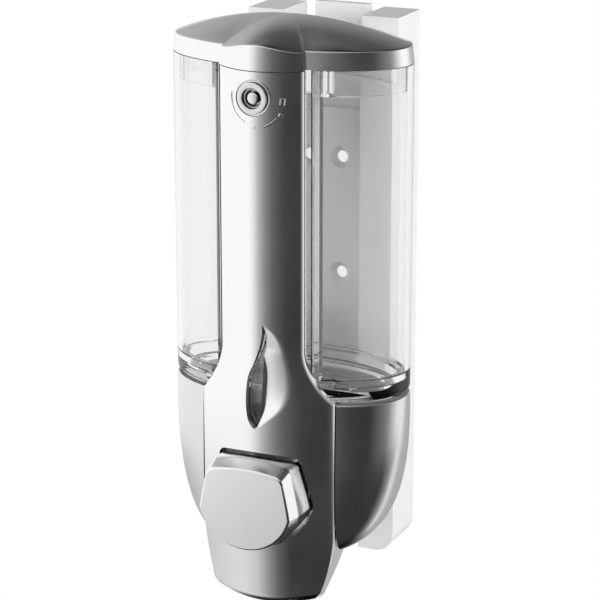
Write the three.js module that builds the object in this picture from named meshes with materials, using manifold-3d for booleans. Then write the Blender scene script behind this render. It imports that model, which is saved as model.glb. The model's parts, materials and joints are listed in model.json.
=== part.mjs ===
// Wall soap dispenser with a clear tank, a key lock and a push button.
// Lengths are in millimetres. X is to the right, the front faces -Y, +Z is up.
// The origin is on the wall, mid-width, level with the shoulder where the tank meets the housing.
import * as THREE from 'three';
import { mergeVertices } from 'three/addons/utils/BufferGeometryUtils.js';
import Module from 'manifold-3d';

const wasm = await Module();
wasm.setup();

// Driving sizes of the body, seen in plan
const BODY_HALF_WIDTH = 44;
const BODY_HALF_DEPTH = 24.5;
const WALL_TO_BODY = 22;
const BODY_CENTRE_Y = -(WALL_TO_BODY + BODY_HALF_DEPTH);
const PANEL_PROUD = 7.5;
const FRONT_REACH = WALL_TO_BODY + 2 * BODY_HALF_DEPTH + PANEL_PROUD;

// Driving heights, up or down from the shoulder
const TANK_HEIGHT = 117;
const SHELL_DROP = 57;
const CHIN_DROP = 75;
const LID_SKIRT_HEIGHT = 6.6;
const LID_DOME_HEIGHT = 8.5;

// Walls and clearances
const SHELL_WALL = 2.2;
const TANK_WALL = 2;
const LID_WALL = 1.8;
const PANEL_WALL = 2.4;
const GAP = 0.3;
const OVERRUN = 5;
const SLIVER = 0.001;

// Front panel
const PANEL_TOP_HALF_WIDTH = 15.5;
const PANEL_LOW_HALF_WIDTH = 25.2;
const PANEL_TOP_CROWN = 6.5;
const PANEL_LOW_CROWN = 11;
const FLARE_HEIGHT = 19;
const CHIN_HALF_WIDTH = 19.5;
const CHIN_HEIGHT = 26;
const CHIN_LIP = 10.4;
const CHIN_WALL_REACH = 16;
const CHIN_WALL_SLOPE_RUN = 11;

// How finely round shapes are cut
const PLAN_STEPS = 48;
const FRONT_STEPS = 8;
const PANEL_COLUMNS = 14;
const ROUND_STEPS = 20;
const SMALL_STEPS = 12;
const ROUNDING_STEPS = 3;
const CORNER_STEPS = 5;

const silver = { color: 0xc4c6c9, roughness: 0.3, metalness: 0.85 };
const darkSilver = { color: 0x6f7276, roughness: 0.32, metalness: 0.85 };
const chrome = { color: 0xdfe1e3, roughness: 0.12, metalness: 1 };
const steel = { color: 0xa9adb1, roughness: 0.35, metalness: 1 };
const clear = { color: 0xf2f5f6, roughness: 0.05, metalness: 0, transparent: true, opacity: 0.25 };
const whitePlastic = { color: 0xe9e9e6, roughness: 0.5, metalness: 0 };
const rubber = { color: 0x2a2b2c, roughness: 0.8, metalness: 0 };
const bracketGrey = { color: 0xb9bcbf, roughness: 0.45, metalness: 0.3 };

const group = new THREE.Group();

// Turns a closed geometry into a solid that can be joined and cut
function solid(geometry) {
  const bare = new THREE.BufferGeometry();
  bare.setAttribute('position', geometry.attributes.position.clone());
  if (geometry.index) bare.setIndex(geometry.index.clone());
  const merged = mergeVertices(bare, 1e-4);
  const vertProperties = new Float32Array(merged.attributes.position.array);
  const triVerts = new Uint32Array(merged.index.array);
  const shape = new wasm.Manifold(new wasm.Mesh({ numProp: 3, vertProperties, triVerts }));
  if (shape.volume() > 0) return shape;
  return new wasm.Manifold(new wasm.Mesh({ numProp: 3, vertProperties, triVerts: triVerts.reverse() }));
}

// Adds a solid to the object as a named piece, without the empty slivers that cuts can leave
function piece(name, shape, finish) {
  const cut = wasm.Manifold.compose(shape.decompose().filter((body) => body.volume() > SLIVER)).getMesh();
  const geometry = new THREE.BufferGeometry();
  geometry.setAttribute('position', new THREE.BufferAttribute(new Float32Array(cut.vertProperties), 3));
  geometry.setIndex(new THREE.BufferAttribute(new Uint32Array(cut.triVerts), 1));
  geometry.computeVertexNormals();
  const mesh = new THREE.Mesh(geometry, new THREE.MeshStandardMaterial(finish));
  mesh.name = name;
  group.add(mesh);
  return mesh;
}

// A box between two corners
function box(low, high) {
  const size = high.map((value, i) => value - low[i]);
  const geometry = new THREE.BoxGeometry(...size);
  geometry.translate(...low.map((value, i) => (value + high[i]) / 2));
  return solid(geometry);
}

// A turned piece: profile points are [radius, height]; axis is 'z' (up) or 'y' (towards the wall)
function turned(profile, axis, at, sides = ROUND_STEPS) {
  const points = profile.map(([r, h]) => new THREE.Vector2(r, h));
  points.push(points[0].clone());
  const geometry = new THREE.LatheGeometry(points, sides);
  if (axis === 'z') geometry.rotateX(Math.PI / 2);
  geometry.translate(...at);
  return solid(geometry);
}

// A disc or rod from one height to another
function rod(radius, from, to, axis, at, sides = ROUND_STEPS) {
  return turned([[0, from], [radius, from], [radius, to], [0, to]], axis, at, sides);
}

// A tube with a bore
function ring(outer, inner, from, to, axis, at, sides = ROUND_STEPS) {
  return turned([[inner, from], [outer, from], [outer, to], [inner, to]], axis, at, sides);
}

// A skin stretched over rings of equal point counts, closed at both ends
function loft(rings) {
  const count = rings[0].length;
  const positions = rings.flat(2);
  const indices = [];
  for (let i = 0; i < rings.length - 1; i += 1) {
    for (let j = 0; j < count; j += 1) {
      const a = i * count + j;
      const b = i * count + ((j + 1) % count);
      indices.push(a, b, b + count, a, b + count, a + count);
    }
  }
  for (const [ringIndex, flip] of [[0, true], [rings.length - 1, false]]) {
    const flat = rings[ringIndex];
    const normal = newell(flat);
    const keep = [0, 1, 2].filter((k) => k !== largest(normal));
    const contour = flat.map((p) => new THREE.Vector2(p[keep[0]], p[keep[1]]));
    const start = ringIndex * count;
    for (const [a, b, c] of THREE.ShapeUtils.triangulateShape(contour, [])) {
      const faces = facing(flat[a], flat[b], flat[c], normal);
      if (faces === flip) indices.push(start + a, start + c, start + b);
      else indices.push(start + a, start + b, start + c);
    }
  }
  const geometry = new THREE.BufferGeometry();
  geometry.setAttribute('position', new THREE.BufferAttribute(new Float32Array(positions), 3));
  geometry.setIndex(indices);
  return solid(geometry);
}

function newell(points) {
  const normal = new THREE.Vector3();
  points.forEach((p, i) => {
    const q = points[(i + 1) % points.length];
    normal.x += (p[1] - q[1]) * (p[2] + q[2]);
    normal.y += (p[2] - q[2]) * (p[0] + q[0]);
    normal.z += (p[0] - q[0]) * (p[1] + q[1]);
  });
  return normal;
}

function largest(v) {
  const sizes = [Math.abs(v.x), Math.abs(v.y), Math.abs(v.z)];
  return sizes.indexOf(Math.max(...sizes));
}

function facing(a, b, c, normal) {
  return newell([a, b, c]).dot(normal) > 0;
}

// Even steps from one value to another
function steps(from, to, count) {
  return Array.from({ length: count + 1 }, (_, i) => from + ((to - from) * i) / count);
}

// The body's oval plan, drawn in by an inset
function oval(inset, z) {
  return Array.from({ length: PLAN_STEPS }, (_, i) => {
    const angle = (2 * Math.PI * i) / PLAN_STEPS;
    const x = (BODY_HALF_WIDTH - inset) * Math.cos(angle);
    const y = BODY_CENTRE_Y + (BODY_HALF_DEPTH - inset) * Math.sin(angle);
    return [x, y, z];
  });
}

// A round fillet as [inset, height] pairs, from the flat end to the wall
function fillet(radius) {
  return steps(0, Math.PI / 2, ROUNDING_STEPS).map((angle) => [
    radius * (1 - Math.sin(angle)),
    radius * (1 - Math.cos(angle)),
  ]);
}

// How far the panel's surface drops back from its crown at a distance from the middle
function crownDrop(x, halfWidth, crown) {
  return crown * (x / halfWidth) ** 2;
}

// Tank: an oval cup, stepped back behind the front panel, with a neck below
const RECESS_SIDE_ROOM = 1.5;
const RECESS_DEPTH = 15;
const TANK_RECESS_HALF_WIDTH = PANEL_TOP_HALF_WIDTH + RECESS_SIDE_ROOM;
const TANK_RECESS_FRONT = FRONT_REACH - RECESS_DEPTH;
const TANK_FOOT_RADIUS = 3;
const TANK_FLOOR = 2.6;
const SUMP_LEDGE_HEIGHT = 8;
const SUMP_LEDGE = 3.5;
const SUMP_STEP_HEIGHT = 4.6;
const SUMP_STEP = 4;
const HINGE_CUT_HALF_WIDTH = 26;
const HINGE_CUT_DEPTH = 2.8;
const HINGE_CUT_REACH = 11;
const NECK_SETBACK = 23.5;
const NECK_DISTANCE = FRONT_REACH - NECK_SETBACK;
const NECK_RADIUS = 8;
const NECK_BORE = 5.5;
const NECK_LENGTH = 12;
const TANK_TOP = TANK_HEIGHT - GAP / 2;
const TANK_BOTTOM = GAP / 2;

function tankPlan(inset, from, to) {
  const recess = box(
    [-TANK_RECESS_HALF_WIDTH - inset, BODY_CENTRE_Y - BODY_HALF_DEPTH - OVERRUN, from - OVERRUN],
    [TANK_RECESS_HALF_WIDTH + inset, -TANK_RECESS_FRONT + inset, to + OVERRUN],
  );
  return loft([oval(inset, from), oval(inset, to)]).subtract(recess);
}

function hingeCut() {
  const back = -WALL_TO_BODY + OVERRUN;
  return box(
    [-HINGE_CUT_HALF_WIDTH, -WALL_TO_BODY - HINGE_CUT_REACH, TANK_HEIGHT - HINGE_CUT_DEPTH],
    [HINGE_CUT_HALF_WIDTH, back, TANK_HEIGHT + OVERRUN],
  );
}

function makeReservoir() {
  const foot = fillet(TANK_FOOT_RADIUS).map(([inset, height]) => oval(inset, TANK_BOTTOM + height));
  const recess = box(
    [-TANK_RECESS_HALF_WIDTH, BODY_CENTRE_Y - BODY_HALF_DEPTH - OVERRUN, -OVERRUN],
    [TANK_RECESS_HALF_WIDTH, -TANK_RECESS_FRONT, TANK_HEIGHT + OVERRUN],
  );
  const sumpInset = TANK_WALL + SUMP_LEDGE;
  const neckAt = [0, -NECK_DISTANCE, 0];
  return loft([...foot, oval(0, TANK_TOP)])
    .subtract(recess)
    .subtract(tankPlan(TANK_WALL, SUMP_LEDGE_HEIGHT, TANK_HEIGHT + OVERRUN))
    .subtract(tankPlan(sumpInset, SUMP_STEP_HEIGHT, SUMP_LEDGE_HEIGHT + OVERRUN))
    .subtract(tankPlan(sumpInset + SUMP_STEP, TANK_FLOOR, SUMP_STEP_HEIGHT + OVERRUN))
    .add(rod(NECK_RADIUS, -NECK_LENGTH, TANK_FLOOR, 'z', neckAt))
    .subtract(rod(NECK_BORE, -NECK_LENGTH - OVERRUN, SUMP_LEDGE_HEIGHT, 'z', neckAt))
    .subtract(hingeCut());
}

// Collar inside the tank's mouth, with the lid's hinge lugs and a catch for the wall bracket
const COLLAR_DEPTH = 9;
const COLLAR_WALL = 2;
const HINGE_AXIS_BEHIND = 5.6;
const HINGE_AXIS_RISE = 3;
const HINGE_PIN_RADIUS = 1;
const HINGE_BORE_CLEARANCE = 0.15;
const HINGE_LUG_RADIUS = 2;
const HINGE_LUG_WIDTH = 3;
const HINGE_LUG_PLACE = 10;
const HINGE_Y = -(WALL_TO_BODY + HINGE_AXIS_BEHIND);
const HINGE_Z = TANK_HEIGHT + HINGE_AXIS_RISE;

function alongX(radius, from, to, y, z, sides = SMALL_STEPS) {
  const geometry = new THREE.CylinderGeometry(radius, radius, to - from, sides);
  geometry.rotateZ(Math.PI / 2);
  geometry.translate((from + to) / 2, y, z);
  return solid(geometry);
}

function hingeBore() {
  const bore = HINGE_PIN_RADIUS + HINGE_BORE_CLEARANCE;
  return alongX(bore, -HINGE_CUT_HALF_WIDTH, HINGE_CUT_HALF_WIDTH, HINGE_Y, HINGE_Z);
}

function makeCollar() {
  const outside = TANK_WALL + GAP;
  const bottom = TANK_TOP - COLLAR_DEPTH;
  let collar = tankPlan(outside, bottom, TANK_TOP)
    .subtract(tankPlan(outside + COLLAR_WALL, bottom - OVERRUN, TANK_TOP + OVERRUN))
    .subtract(hingeCut());
  for (const side of [-1, 1]) {
    const middle = side * HINGE_LUG_PLACE;
    const left = middle - HINGE_LUG_WIDTH / 2;
    const right = middle + HINGE_LUG_WIDTH / 2;
    const root = TANK_HEIGHT - HINGE_CUT_DEPTH - COLLAR_DEPTH / 2;
    collar = collar
      .add(alongX(HINGE_LUG_RADIUS, left, right, HINGE_Y, HINGE_Z))
      .add(box([left, HINGE_Y - HINGE_LUG_RADIUS, root], [right, HINGE_Y + HINGE_LUG_RADIUS, HINGE_Z]));
  }
  return collar.subtract(hingeBore());
}

function makeHingePin() {
  const half = HINGE_LUG_PLACE + HINGE_LUG_WIDTH / 2;
  return alongX(HINGE_PIN_RADIUS, -half, half, HINGE_Y, HINGE_Z);
}

// Lid: a skirt, a rounded edge and a low dome, with a raised wave along its front middle
const LID_TAPER = 0.7;
const LID_EDGE_RADIUS = 1.2;
const LID_DOME_POWER = 2.6;
const LID_REAR_FALL_SHARE = 0.55;
const LID_WAVE_HEIGHT = 2.4;
const LID_WAVE_FADE_SHARE = 0.55;
const LID_RING_SHARES = [0.9, 0.72, 0.5, 0.22];
const NOTCH_SIDE_GAP = 1.1;
const KNUCKLE_SIDE_GAP = 0.9;
const KNUCKLE_ROOT_RISE = 1;
const LID_NOTCH_HALF_WIDTH = HINGE_LUG_PLACE + HINGE_LUG_WIDTH / 2 + NOTCH_SIDE_GAP;
const LID_NOTCH_ROOF = 1.1;
const LID_KNUCKLE_HALF_WIDTH = HINGE_LUG_PLACE - HINGE_LUG_WIDTH / 2 - KNUCKLE_SIDE_GAP;
const LID_BOTTOM = TANK_HEIGHT + GAP / 2;
const LID_EDGE_Z = TANK_HEIGHT + LID_SKIRT_HEIGHT;

// The lid's plan: the oval, with the panel's bulge over its front middle
function lidPlan(inset) {
  const half = PANEL_TOP_HALF_WIDTH - inset;
  const a = BODY_HALF_WIDTH - inset;
  const b = BODY_HALF_DEPTH - inset;
  const join = Math.acos(half / a);
  const sweep = steps(-join, Math.PI + join, PLAN_STEPS);
  const sides = sweep.map((angle) => [a * Math.cos(angle), BODY_CENTRE_Y + b * Math.sin(angle)]);
  const front = steps(-half, half, FRONT_STEPS).map((x) => [
    x,
    -FRONT_REACH + inset + crownDrop(x, PANEL_TOP_HALF_WIDTH, PANEL_TOP_CROWN),
  ]);
  return [...sides, ...front];
}

// How much the front edge rises over the wave
function wave(x, y) {
  if (y > BODY_CENTRE_Y || Math.abs(x) > PANEL_TOP_HALF_WIDTH) return 0;
  return LID_WAVE_HEIGHT * Math.cos((Math.PI * x) / (2 * PANEL_TOP_HALF_WIDTH)) ** 2;
}

function lidSkin(inset, bottom) {
  const centre = ([x, y], share) => [x * share, BODY_CENTRE_Y + (y - BODY_CENTRE_Y) * share];
  const top = LID_EDGE_Z - inset;
  const rings = [lidPlan(inset).map(([x, y]) => [x, y, bottom])];
  const round = fillet(LID_EDGE_RADIUS).reverse();
  for (const [draw, height] of round) {
    const plan = lidPlan(inset + LID_TAPER);
    rings.push(plan.map(([x, y]) => {
      const share = 1 - draw / BODY_HALF_DEPTH;
      return [...centre([x, y], share), top - height + wave(x, y)];
    }));
  }
  for (const share of LID_RING_SHARES) {
    const fade = Math.max(0, (share - LID_WAVE_FADE_SHARE) / (1 - LID_WAVE_FADE_SHARE)) ** 2;
    const rise = LID_DOME_HEIGHT * (1 - share ** LID_DOME_POWER);
    rings.push(lidPlan(inset + LID_TAPER).map(([x, y]) => {
      const behind = Math.max(0, (y - BODY_CENTRE_Y) / BODY_HALF_DEPTH) * share;
      return [
        ...centre([x, y], share),
        top + rise * (1 - LID_REAR_FALL_SHARE * behind) + wave(x, y) * fade,
      ];
    }));
  }
  return loft(rings);
}

// The catch that the lock's cam holds: a leg below the lid with a foot under the cam
const CAM_THICK = 1.5;
const CAM_REACH = 9.2;
const CAM_HALF_WIDTH = 2.6;
const LOCK_BODY_LENGTH = 9.9;
const LOCK_BODY_FRONT = -FRONT_REACH + GAP / 2;
const LOCK_BODY_BACK = LOCK_BODY_FRONT + LOCK_BODY_LENGTH;
const CAM_FRONT = LOCK_BODY_BACK + 2 * GAP;
const CATCH_SETBACK = 0.4;
const CATCH_FRONT = CAM_FRONT + CATCH_SETBACK;
const CATCH_LEG_GAP = 0.6;
const CATCH_LEG_FROM = CAM_REACH + CATCH_LEG_GAP;
const CATCH_LEG_WIDTH = 2;
const CATCH_ROOT_RISE = 2.2;
const CATCH_FOOT_REACH = 4.6;
const CATCH_FOOT_THICK = 2.2;
const CATCH_THICK = 2;
const LOCK_DROP = 9;
const LOCK_Z = TANK_HEIGHT - LOCK_DROP;
const LOCK_AT = [0, 0, LOCK_Z];

function makeLid() {
  const notchRoof = LID_EDGE_Z - LID_NOTCH_ROOF;
  const notch = box(
    [-LID_NOTCH_HALF_WIDTH, HINGE_Y - HINGE_LUG_RADIUS - GAP, TANK_HEIGHT - OVERRUN],
    [LID_NOTCH_HALF_WIDTH, -WALL_TO_BODY + OVERRUN, notchRoof],
  );
  const knuckleRoot = LID_EDGE_Z + KNUCKLE_ROOT_RISE;
  const knuckle = alongX(HINGE_LUG_RADIUS, -LID_KNUCKLE_HALF_WIDTH, LID_KNUCKLE_HALF_WIDTH, HINGE_Y, HINGE_Z)
    .add(box(
      [-LID_KNUCKLE_HALF_WIDTH, HINGE_Y - HINGE_LUG_RADIUS, HINGE_Z],
      [LID_KNUCKLE_HALF_WIDTH, HINGE_Y + HINGE_LUG_RADIUS, knuckleRoot],
    ))
    .subtract(hingeBore());
  const catchBack = CATCH_FRONT + CATCH_THICK;
  const footTop = LOCK_Z - CAM_HALF_WIDTH - GAP;
  const legTo = CATCH_LEG_FROM + CATCH_LEG_WIDTH;
  const leg = box(
    [CATCH_LEG_FROM, CATCH_FRONT, footTop - CATCH_FOOT_THICK],
    [legTo, catchBack, LID_EDGE_Z + CATCH_ROOT_RISE],
  );
  const foot = box(
    [CATCH_LEG_FROM - CATCH_FOOT_REACH, CATCH_FRONT, footTop - CATCH_FOOT_THICK],
    [legTo, catchBack, footTop],
  );
  return lidSkin(0, LID_BOTTOM)
    .subtract(lidSkin(LID_WALL, LID_BOTTOM - OVERRUN))
    .subtract(notch)
    .add(knuckle)
    .add(leg)
    .add(foot);
}

// Front panel: one bowed sheet that follows a path down the front and curls under the chin
const CHIN_CURL_RADIUS = 5;
const CHIN_TILT = 1.6;
const CHIN_CORNER_LIFT = 2.6;
const PANEL_TOP = TANK_HEIGHT - GAP / 2;
const FLARE_POWER = 1.8;
const CHIN_POWER = 1.6;
const CHIN_START = CHIN_HEIGHT - CHIN_DROP;

function smooth(share) {
  const t = Math.min(1, Math.max(0, share));
  return t * t * (3 - 2 * t);
}

function panelHalfWidth(z) {
  if (z >= FLARE_HEIGHT) return PANEL_TOP_HALF_WIDTH;
  if (z >= 0) {
    const share = ((FLARE_HEIGHT - z) / FLARE_HEIGHT) ** FLARE_POWER;
    return PANEL_TOP_HALF_WIDTH + (PANEL_LOW_HALF_WIDTH - PANEL_TOP_HALF_WIDTH) * share;
  }
  if (z >= CHIN_START) return PANEL_LOW_HALF_WIDTH;
  const share = (CHIN_START - z) / CHIN_HEIGHT;
  return PANEL_LOW_HALF_WIDTH - (PANEL_LOW_HALF_WIDTH - CHIN_HALF_WIDTH) * share ** CHIN_POWER;
}

// The drop from the crown: a tighter bow above the flare than below it
function panelDrop(x, z) {
  const high = crownDrop(x, PANEL_TOP_HALF_WIDTH, PANEL_TOP_CROWN);
  const low = crownDrop(x, PANEL_LOW_HALF_WIDTH, PANEL_LOW_CROWN);
  const share = smooth(1 - z / FLARE_HEIGHT);
  return high + (low - high) * share;
}

// The path of the panel's crown: [distance from the wall, height, way in along Y, way in along Z]
function panelPath() {
  const path = [];
  const down = [PANEL_TOP, FLARE_HEIGHT, ...steps(FLARE_HEIGHT, 0, 8).slice(1)];
  for (const z of down) path.push([FRONT_REACH, z, 1, 0]);
  for (const z of steps(0, CHIN_START, 3).slice(1)) path.push([FRONT_REACH, z, 1, 0]);
  const curlTop = -CHIN_DROP + CHIN_CURL_RADIUS;
  for (const z of steps(CHIN_START, curlTop, 4).slice(1)) {
    const share = (CHIN_START - z) / (CHIN_START - curlTop);
    path.push([FRONT_REACH - CHIN_TILT * share * share, z, 1, 0]);
  }
  const centreDistance = FRONT_REACH - CHIN_TILT - CHIN_CURL_RADIUS;
  for (const angle of steps(0, Math.PI / 2, ROUNDING_STEPS).slice(1)) {
    const outward = Math.cos(angle);
    const downward = Math.sin(angle);
    path.push([
      centreDistance + CHIN_CURL_RADIUS * outward,
      curlTop - CHIN_CURL_RADIUS * downward,
      outward,
      downward,
    ]);
  }
  path.push([FRONT_REACH - CHIN_LIP, -CHIN_DROP, 0, 1]);
  return path;
}

function makePanelSheet(wall) {
  const columns = PANEL_COLUMNS;
  const rows = panelPath().map(([distance, z, inY, inZ]) => {
    const half = panelHalfWidth(z);
    const outer = [];
    const inner = [];
    for (const u of steps(-1, 1, columns)) {
      const x = u * half;
      const drop = panelDrop(x, z);
      const y = -distance + drop * (inZ ? 1 - inZ / 2 : 1);
      const lift = CHIN_CORNER_LIFT * inZ * u * u;
      outer.push([x, y, z + lift]);
      inner.push([x, y + wall * inY, z + lift + wall * inZ]);
    }
    return [...outer, ...inner.reverse()];
  });
  return loft(rows);
}

// Side walls of the chin, cut back on a slope under the housing
function chinWall(side) {
  const rings = steps(CHIN_START, -CHIN_DROP + CHIN_CURL_RADIUS / 2, 5).map((z) => {
    const half = panelHalfWidth(z);
    const front = -FRONT_REACH;
    const edge = -FRONT_REACH + panelDrop(half, z);
    const share = (CHIN_START - z) / CHIN_HEIGHT;
    const back = edge + CHIN_WALL_REACH - CHIN_WALL_SLOPE_RUN * share;
    const outer = side * half;
    const inner = side * (half - PANEL_WALL);
    return [[outer, front, z], [outer, back, z], [inner, back, z], [inner, front, z]];
  });
  return loft(rings);
}

// Button outline as [x, z] about the button's middle, drawn in by an inset
const BUTTON_Z = -37;
const BUTTON_HALF_WIDTH = 18.5;
const BUTTON_TOP_HALF_WIDTH = 15.4;
const BUTTON_RISE = 16.9;
const BUTTON_FALL = 14.5;
const BUTTON_SHOULDER = 0.3;
const BUTTON_CORNER_RADIUS = 3;
const BUTTON_OPENING_GAP = 0.9;
const BUTTON_TOP_ROOM = 1.2;
const BUTTON_TOP_INSET_SHARE = 0.5;
const BUTTON_TOP_BOW = 1.8;

function buttonOutline(inset, topRoom = 0) {
  const half = BUTTON_HALF_WIDTH - inset;
  const topHalf = BUTTON_TOP_HALF_WIDTH - inset * BUTTON_TOP_INSET_SHARE;
  const rise = BUTTON_RISE - inset + topRoom;
  const fall = BUTTON_FALL - inset;
  const corner = BUTTON_CORNER_RADIUS;
  const arc = (fall * fall + half * half) / (2 * fall);
  const sweep = Math.asin(half / arc);
  const points = [];
  for (const angle of steps(0, Math.PI / 2, 3)) {
    points.push([
      topHalf - corner + corner * Math.sin(angle),
      rise - corner + corner * Math.cos(angle),
    ]);
  }
  points.push([half, BUTTON_SHOULDER]);
  for (const angle of steps(sweep, -sweep, 12)) {
    points.push([arc * Math.sin(angle), -fall + arc - arc * Math.cos(angle)]);
  }
  points.push([-half, BUTTON_SHOULDER]);
  for (const angle of steps(-Math.PI / 2, 0, 3)) {
    points.push([
      -topHalf + corner + corner * Math.sin(angle),
      rise - corner + corner * Math.cos(angle),
    ]);
  }
  for (const x of steps(corner - topHalf, topHalf - corner, 6).slice(1, -1)) {
    points.push([x, rise]);
  }
  return points.map(([x, z]) => [x, z + BUTTON_TOP_BOW * (1 - (x / topHalf) ** 2) * smooth(z / rise)]);
}

// The button's body as insets along its depth, front last; the top edge slopes down to the face
const BUTTON_PROUD = 9.5;
const BUTTON_SETBACK = 7.1;
const BUTTON_FACE = FRONT_REACH + BUTTON_PROUD;
const BUTTON_BACK = FRONT_REACH - BUTTON_SETBACK;
const BUTTON_CHAMFER = 1.7;
const BUTTON_BEVEL_DEPTH = 6;
const BUTTON_TOP_SLOPE = 0.6;
const BUTTON_WALL = 2;
const BUTTON_BEVEL_SHARES = [1, 0.08, 0];
const BUTTON_DRAW_SHARES = [0.2, 0.75, 1];
const BUTTON_SLOPE_SHARES = [0.5, 0.9, 1];

function buttonSkin(inset, face, back) {
  const levels = [[back, 0, 0]];
  BUTTON_BEVEL_SHARES.forEach((share, i) => levels.push([
    face - BUTTON_BEVEL_DEPTH * share,
    BUTTON_CHAMFER * BUTTON_DRAW_SHARES[i],
    BUTTON_SLOPE_SHARES[i],
  ]));
  return loft(levels.map(([distance, draw, slope]) => buttonOutline(inset + draw).map(([x, z]) => [
    x,
    -distance,
    BUTTON_Z + z - BUTTON_TOP_SLOPE * slope * smooth(z / BUTTON_RISE),
  ])));
}

// Flame-shaped window: leans from its tip towards the left and is widest low down
const FLAME_HEIGHT = 37;
const FLAME_WIDTH = 7.4;
const FLAME_TOP = 29;
const FLAME_LEAN = 1.7;
const FLAME_OFFSET = 1;
const FLAME_LEAN_SHARE = 0.85;
const FLAME_LOW_POWER = 1.35;
const FLAME_ROUND_POWER = 0.9;
const FLAME_STEPS = 14;

function flameOutline(inset) {
  const right = [];
  const left = [];
  const height = FLAME_HEIGHT - 2 * inset;
  for (const t of steps(0, 1, FLAME_STEPS)) {
    const z = FLAME_TOP - inset - height * t;
    const middle = FLAME_OFFSET + FLAME_LEAN * Math.cos(Math.PI * Math.min(1, t / FLAME_LEAN_SHARE));
    const fat = Math.sin(Math.PI * t ** FLAME_LOW_POWER) ** FLAME_ROUND_POWER;
    const half = (FLAME_WIDTH / 2 - inset) * fat;
    if (t === 0 || t === 1) right.push([middle, z]);
    else {
      right.push([middle + half, z]);
      left.unshift([middle - half, z]);
    }
  }
  return [...right, ...left];
}

function flamePrism(inset, from, to) {
  const outline = flameOutline(inset);
  return loft([outline.map(([x, z]) => [x, from, z]), outline.map(([x, z]) => [x, to, z])]);
}

// Panel bosses that take the screws from inside the housing
const BOSS_RADIUS = 3;
const BOSS_INSET = 4.2;
const BOSS_X = PANEL_LOW_HALF_WIDTH - BOSS_INSET;
const BOSS_UPPER_DROP = 8;
const BOSS_LOWER_DROP = 45;
const BOSS_HEIGHTS = [-BOSS_UPPER_DROP, -BOSS_LOWER_DROP];
const BOSS_SETBACK = 19.9;
const BOSS_END = FRONT_REACH - BOSS_SETBACK;
const SCREW_RADIUS = 1.2;
const PILOT_RADIUS = 1.5;
const LOCK_HOLE_RADIUS = 5;
const LOCK_RING_RADIUS = 5.9;

function bossPlaces() {
  return BOSS_HEIGHTS.flatMap((z) => [-1, 1].map((side) => [side * BOSS_X, z]));
}

function makeFrontPanel() {
  const behind = makePanelSheet(FRONT_REACH + BODY_CENTRE_Y);
  const front = -FRONT_REACH - OVERRUN;
  let panel = makePanelSheet(PANEL_WALL).subtract(tankPlan(-GAP, -GAP, TANK_HEIGHT + OVERRUN));
  for (const side of [-1, 1]) panel = panel.add(chinWall(side).intersect(behind));
  for (const [x, z] of bossPlaces()) {
    const boss = rod(BOSS_RADIUS, -FRONT_REACH, -BOSS_END, 'y', [x, 0, z], SMALL_STEPS);
    const pilotStart = -FRONT_REACH + panelDrop(x, z) + 2 * PANEL_WALL;
    panel = panel
      .add(boss.intersect(behind))
      .subtract(rod(PILOT_RADIUS, pilotStart, -BOSS_END + OVERRUN, 'y', [x, 0, z], SMALL_STEPS));
  }
  const surround = buttonOutline(-BUTTON_OPENING_GAP, BUTTON_TOP_ROOM);
  const opening = loft([front, BODY_CENTRE_Y].map((y) => surround.map(([x, z]) => [x, y, BUTTON_Z + z])));
  return panel
    .subtract(opening)
    .subtract(flamePrism(0, front, -FRONT_REACH + 2 * OVERRUN))
    .subtract(rod(LOCK_HOLE_RADIUS, front, -FRONT_REACH + 2 * OVERRUN, 'y', LOCK_AT));
}

// Lower housing: it draws in at the sides and the back to a small flat base; its front is open for the panel
const SHELL_SIDE_DRAW = 24;
const SHELL_SIDE_POWER = 2.5;
const SHELL_BACK_DRAW = 20;
const SHELL_BACK_POWER = 3.5;
const SHELL_SQUARE_GAIN = 0.5;
const SHELL_LEVEL_SHARES = [1, 0.992, 0.96, 0.9, 0.82, 0.7, 0.5, 0.25];
const SHELL_OPENING_DEPTH = 31.1;
const SHELL_OPENING_BACK = FRONT_REACH - SHELL_OPENING_DEPTH;
const RIB_THICK = 2;
const RIB_HALF_HEIGHT = 4;
const RIB_INNER = BOSS_X - BOSS_RADIUS;
const HOOK_PLACE = 8;
const HOOK_WIDTH = 5;
const HOOK_TOP = -14;
const HOOK_ARM_DROP = 8;
const HOOK_FINGER_DROP = 16;
const HOOK_FINGER_THICK = 3;
const SHELF_INSET = 6;
const SHELF_THICK = 1.8;
const SHELF_DROP = 1.6;
const CROSSBAR_FRONT = 13;
const CROSSBAR_THICK = 3;

// How much of its draw the housing has taken at a share of its drop
function drawn(share, power) {
  return 1 - (1 - share ** power) ** (1 / power);
}

// One level of the housing: an oval that grows squarer towards the base
function shellLevel(inset, share, z) {
  const half = BODY_HALF_WIDTH - SHELL_SIDE_DRAW * drawn(share, SHELL_SIDE_POWER) - inset;
  const draw = SHELL_BACK_DRAW * drawn(share, SHELL_BACK_POWER);
  const depth = BODY_HALF_DEPTH - draw / 2 - inset;
  const power = 2 / (2 + SHELL_SQUARE_GAIN * share);
  const part = (value) => Math.sign(value) * Math.abs(value) ** power;
  return Array.from({ length: PLAN_STEPS }, (_, i) => {
    const angle = (2 * Math.PI * i) / PLAN_STEPS;
    return [half * part(Math.cos(angle)), BODY_CENTRE_Y - draw / 2 + depth * part(Math.sin(angle)), z];
  });
}

function shellSkin(inset) {
  const rings = SHELL_LEVEL_SHARES.map((share) => shellLevel(inset, share, -share * (SHELL_DROP - inset)));
  rings.push(oval(inset, inset ? OVERRUN : -GAP / 2));
  return loft(rings);
}

// The open front of the housing, which the panel closes
function housingFront() {
  const sideGap = PANEL_LOW_HALF_WIDTH + GAP;
  const front = BODY_CENTRE_Y - BODY_HALF_DEPTH - OVERRUN;
  return box([-sideGap, front, -SHELL_DROP - OVERRUN], [sideGap, -SHELL_OPENING_BACK, OVERRUN]);
}

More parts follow.
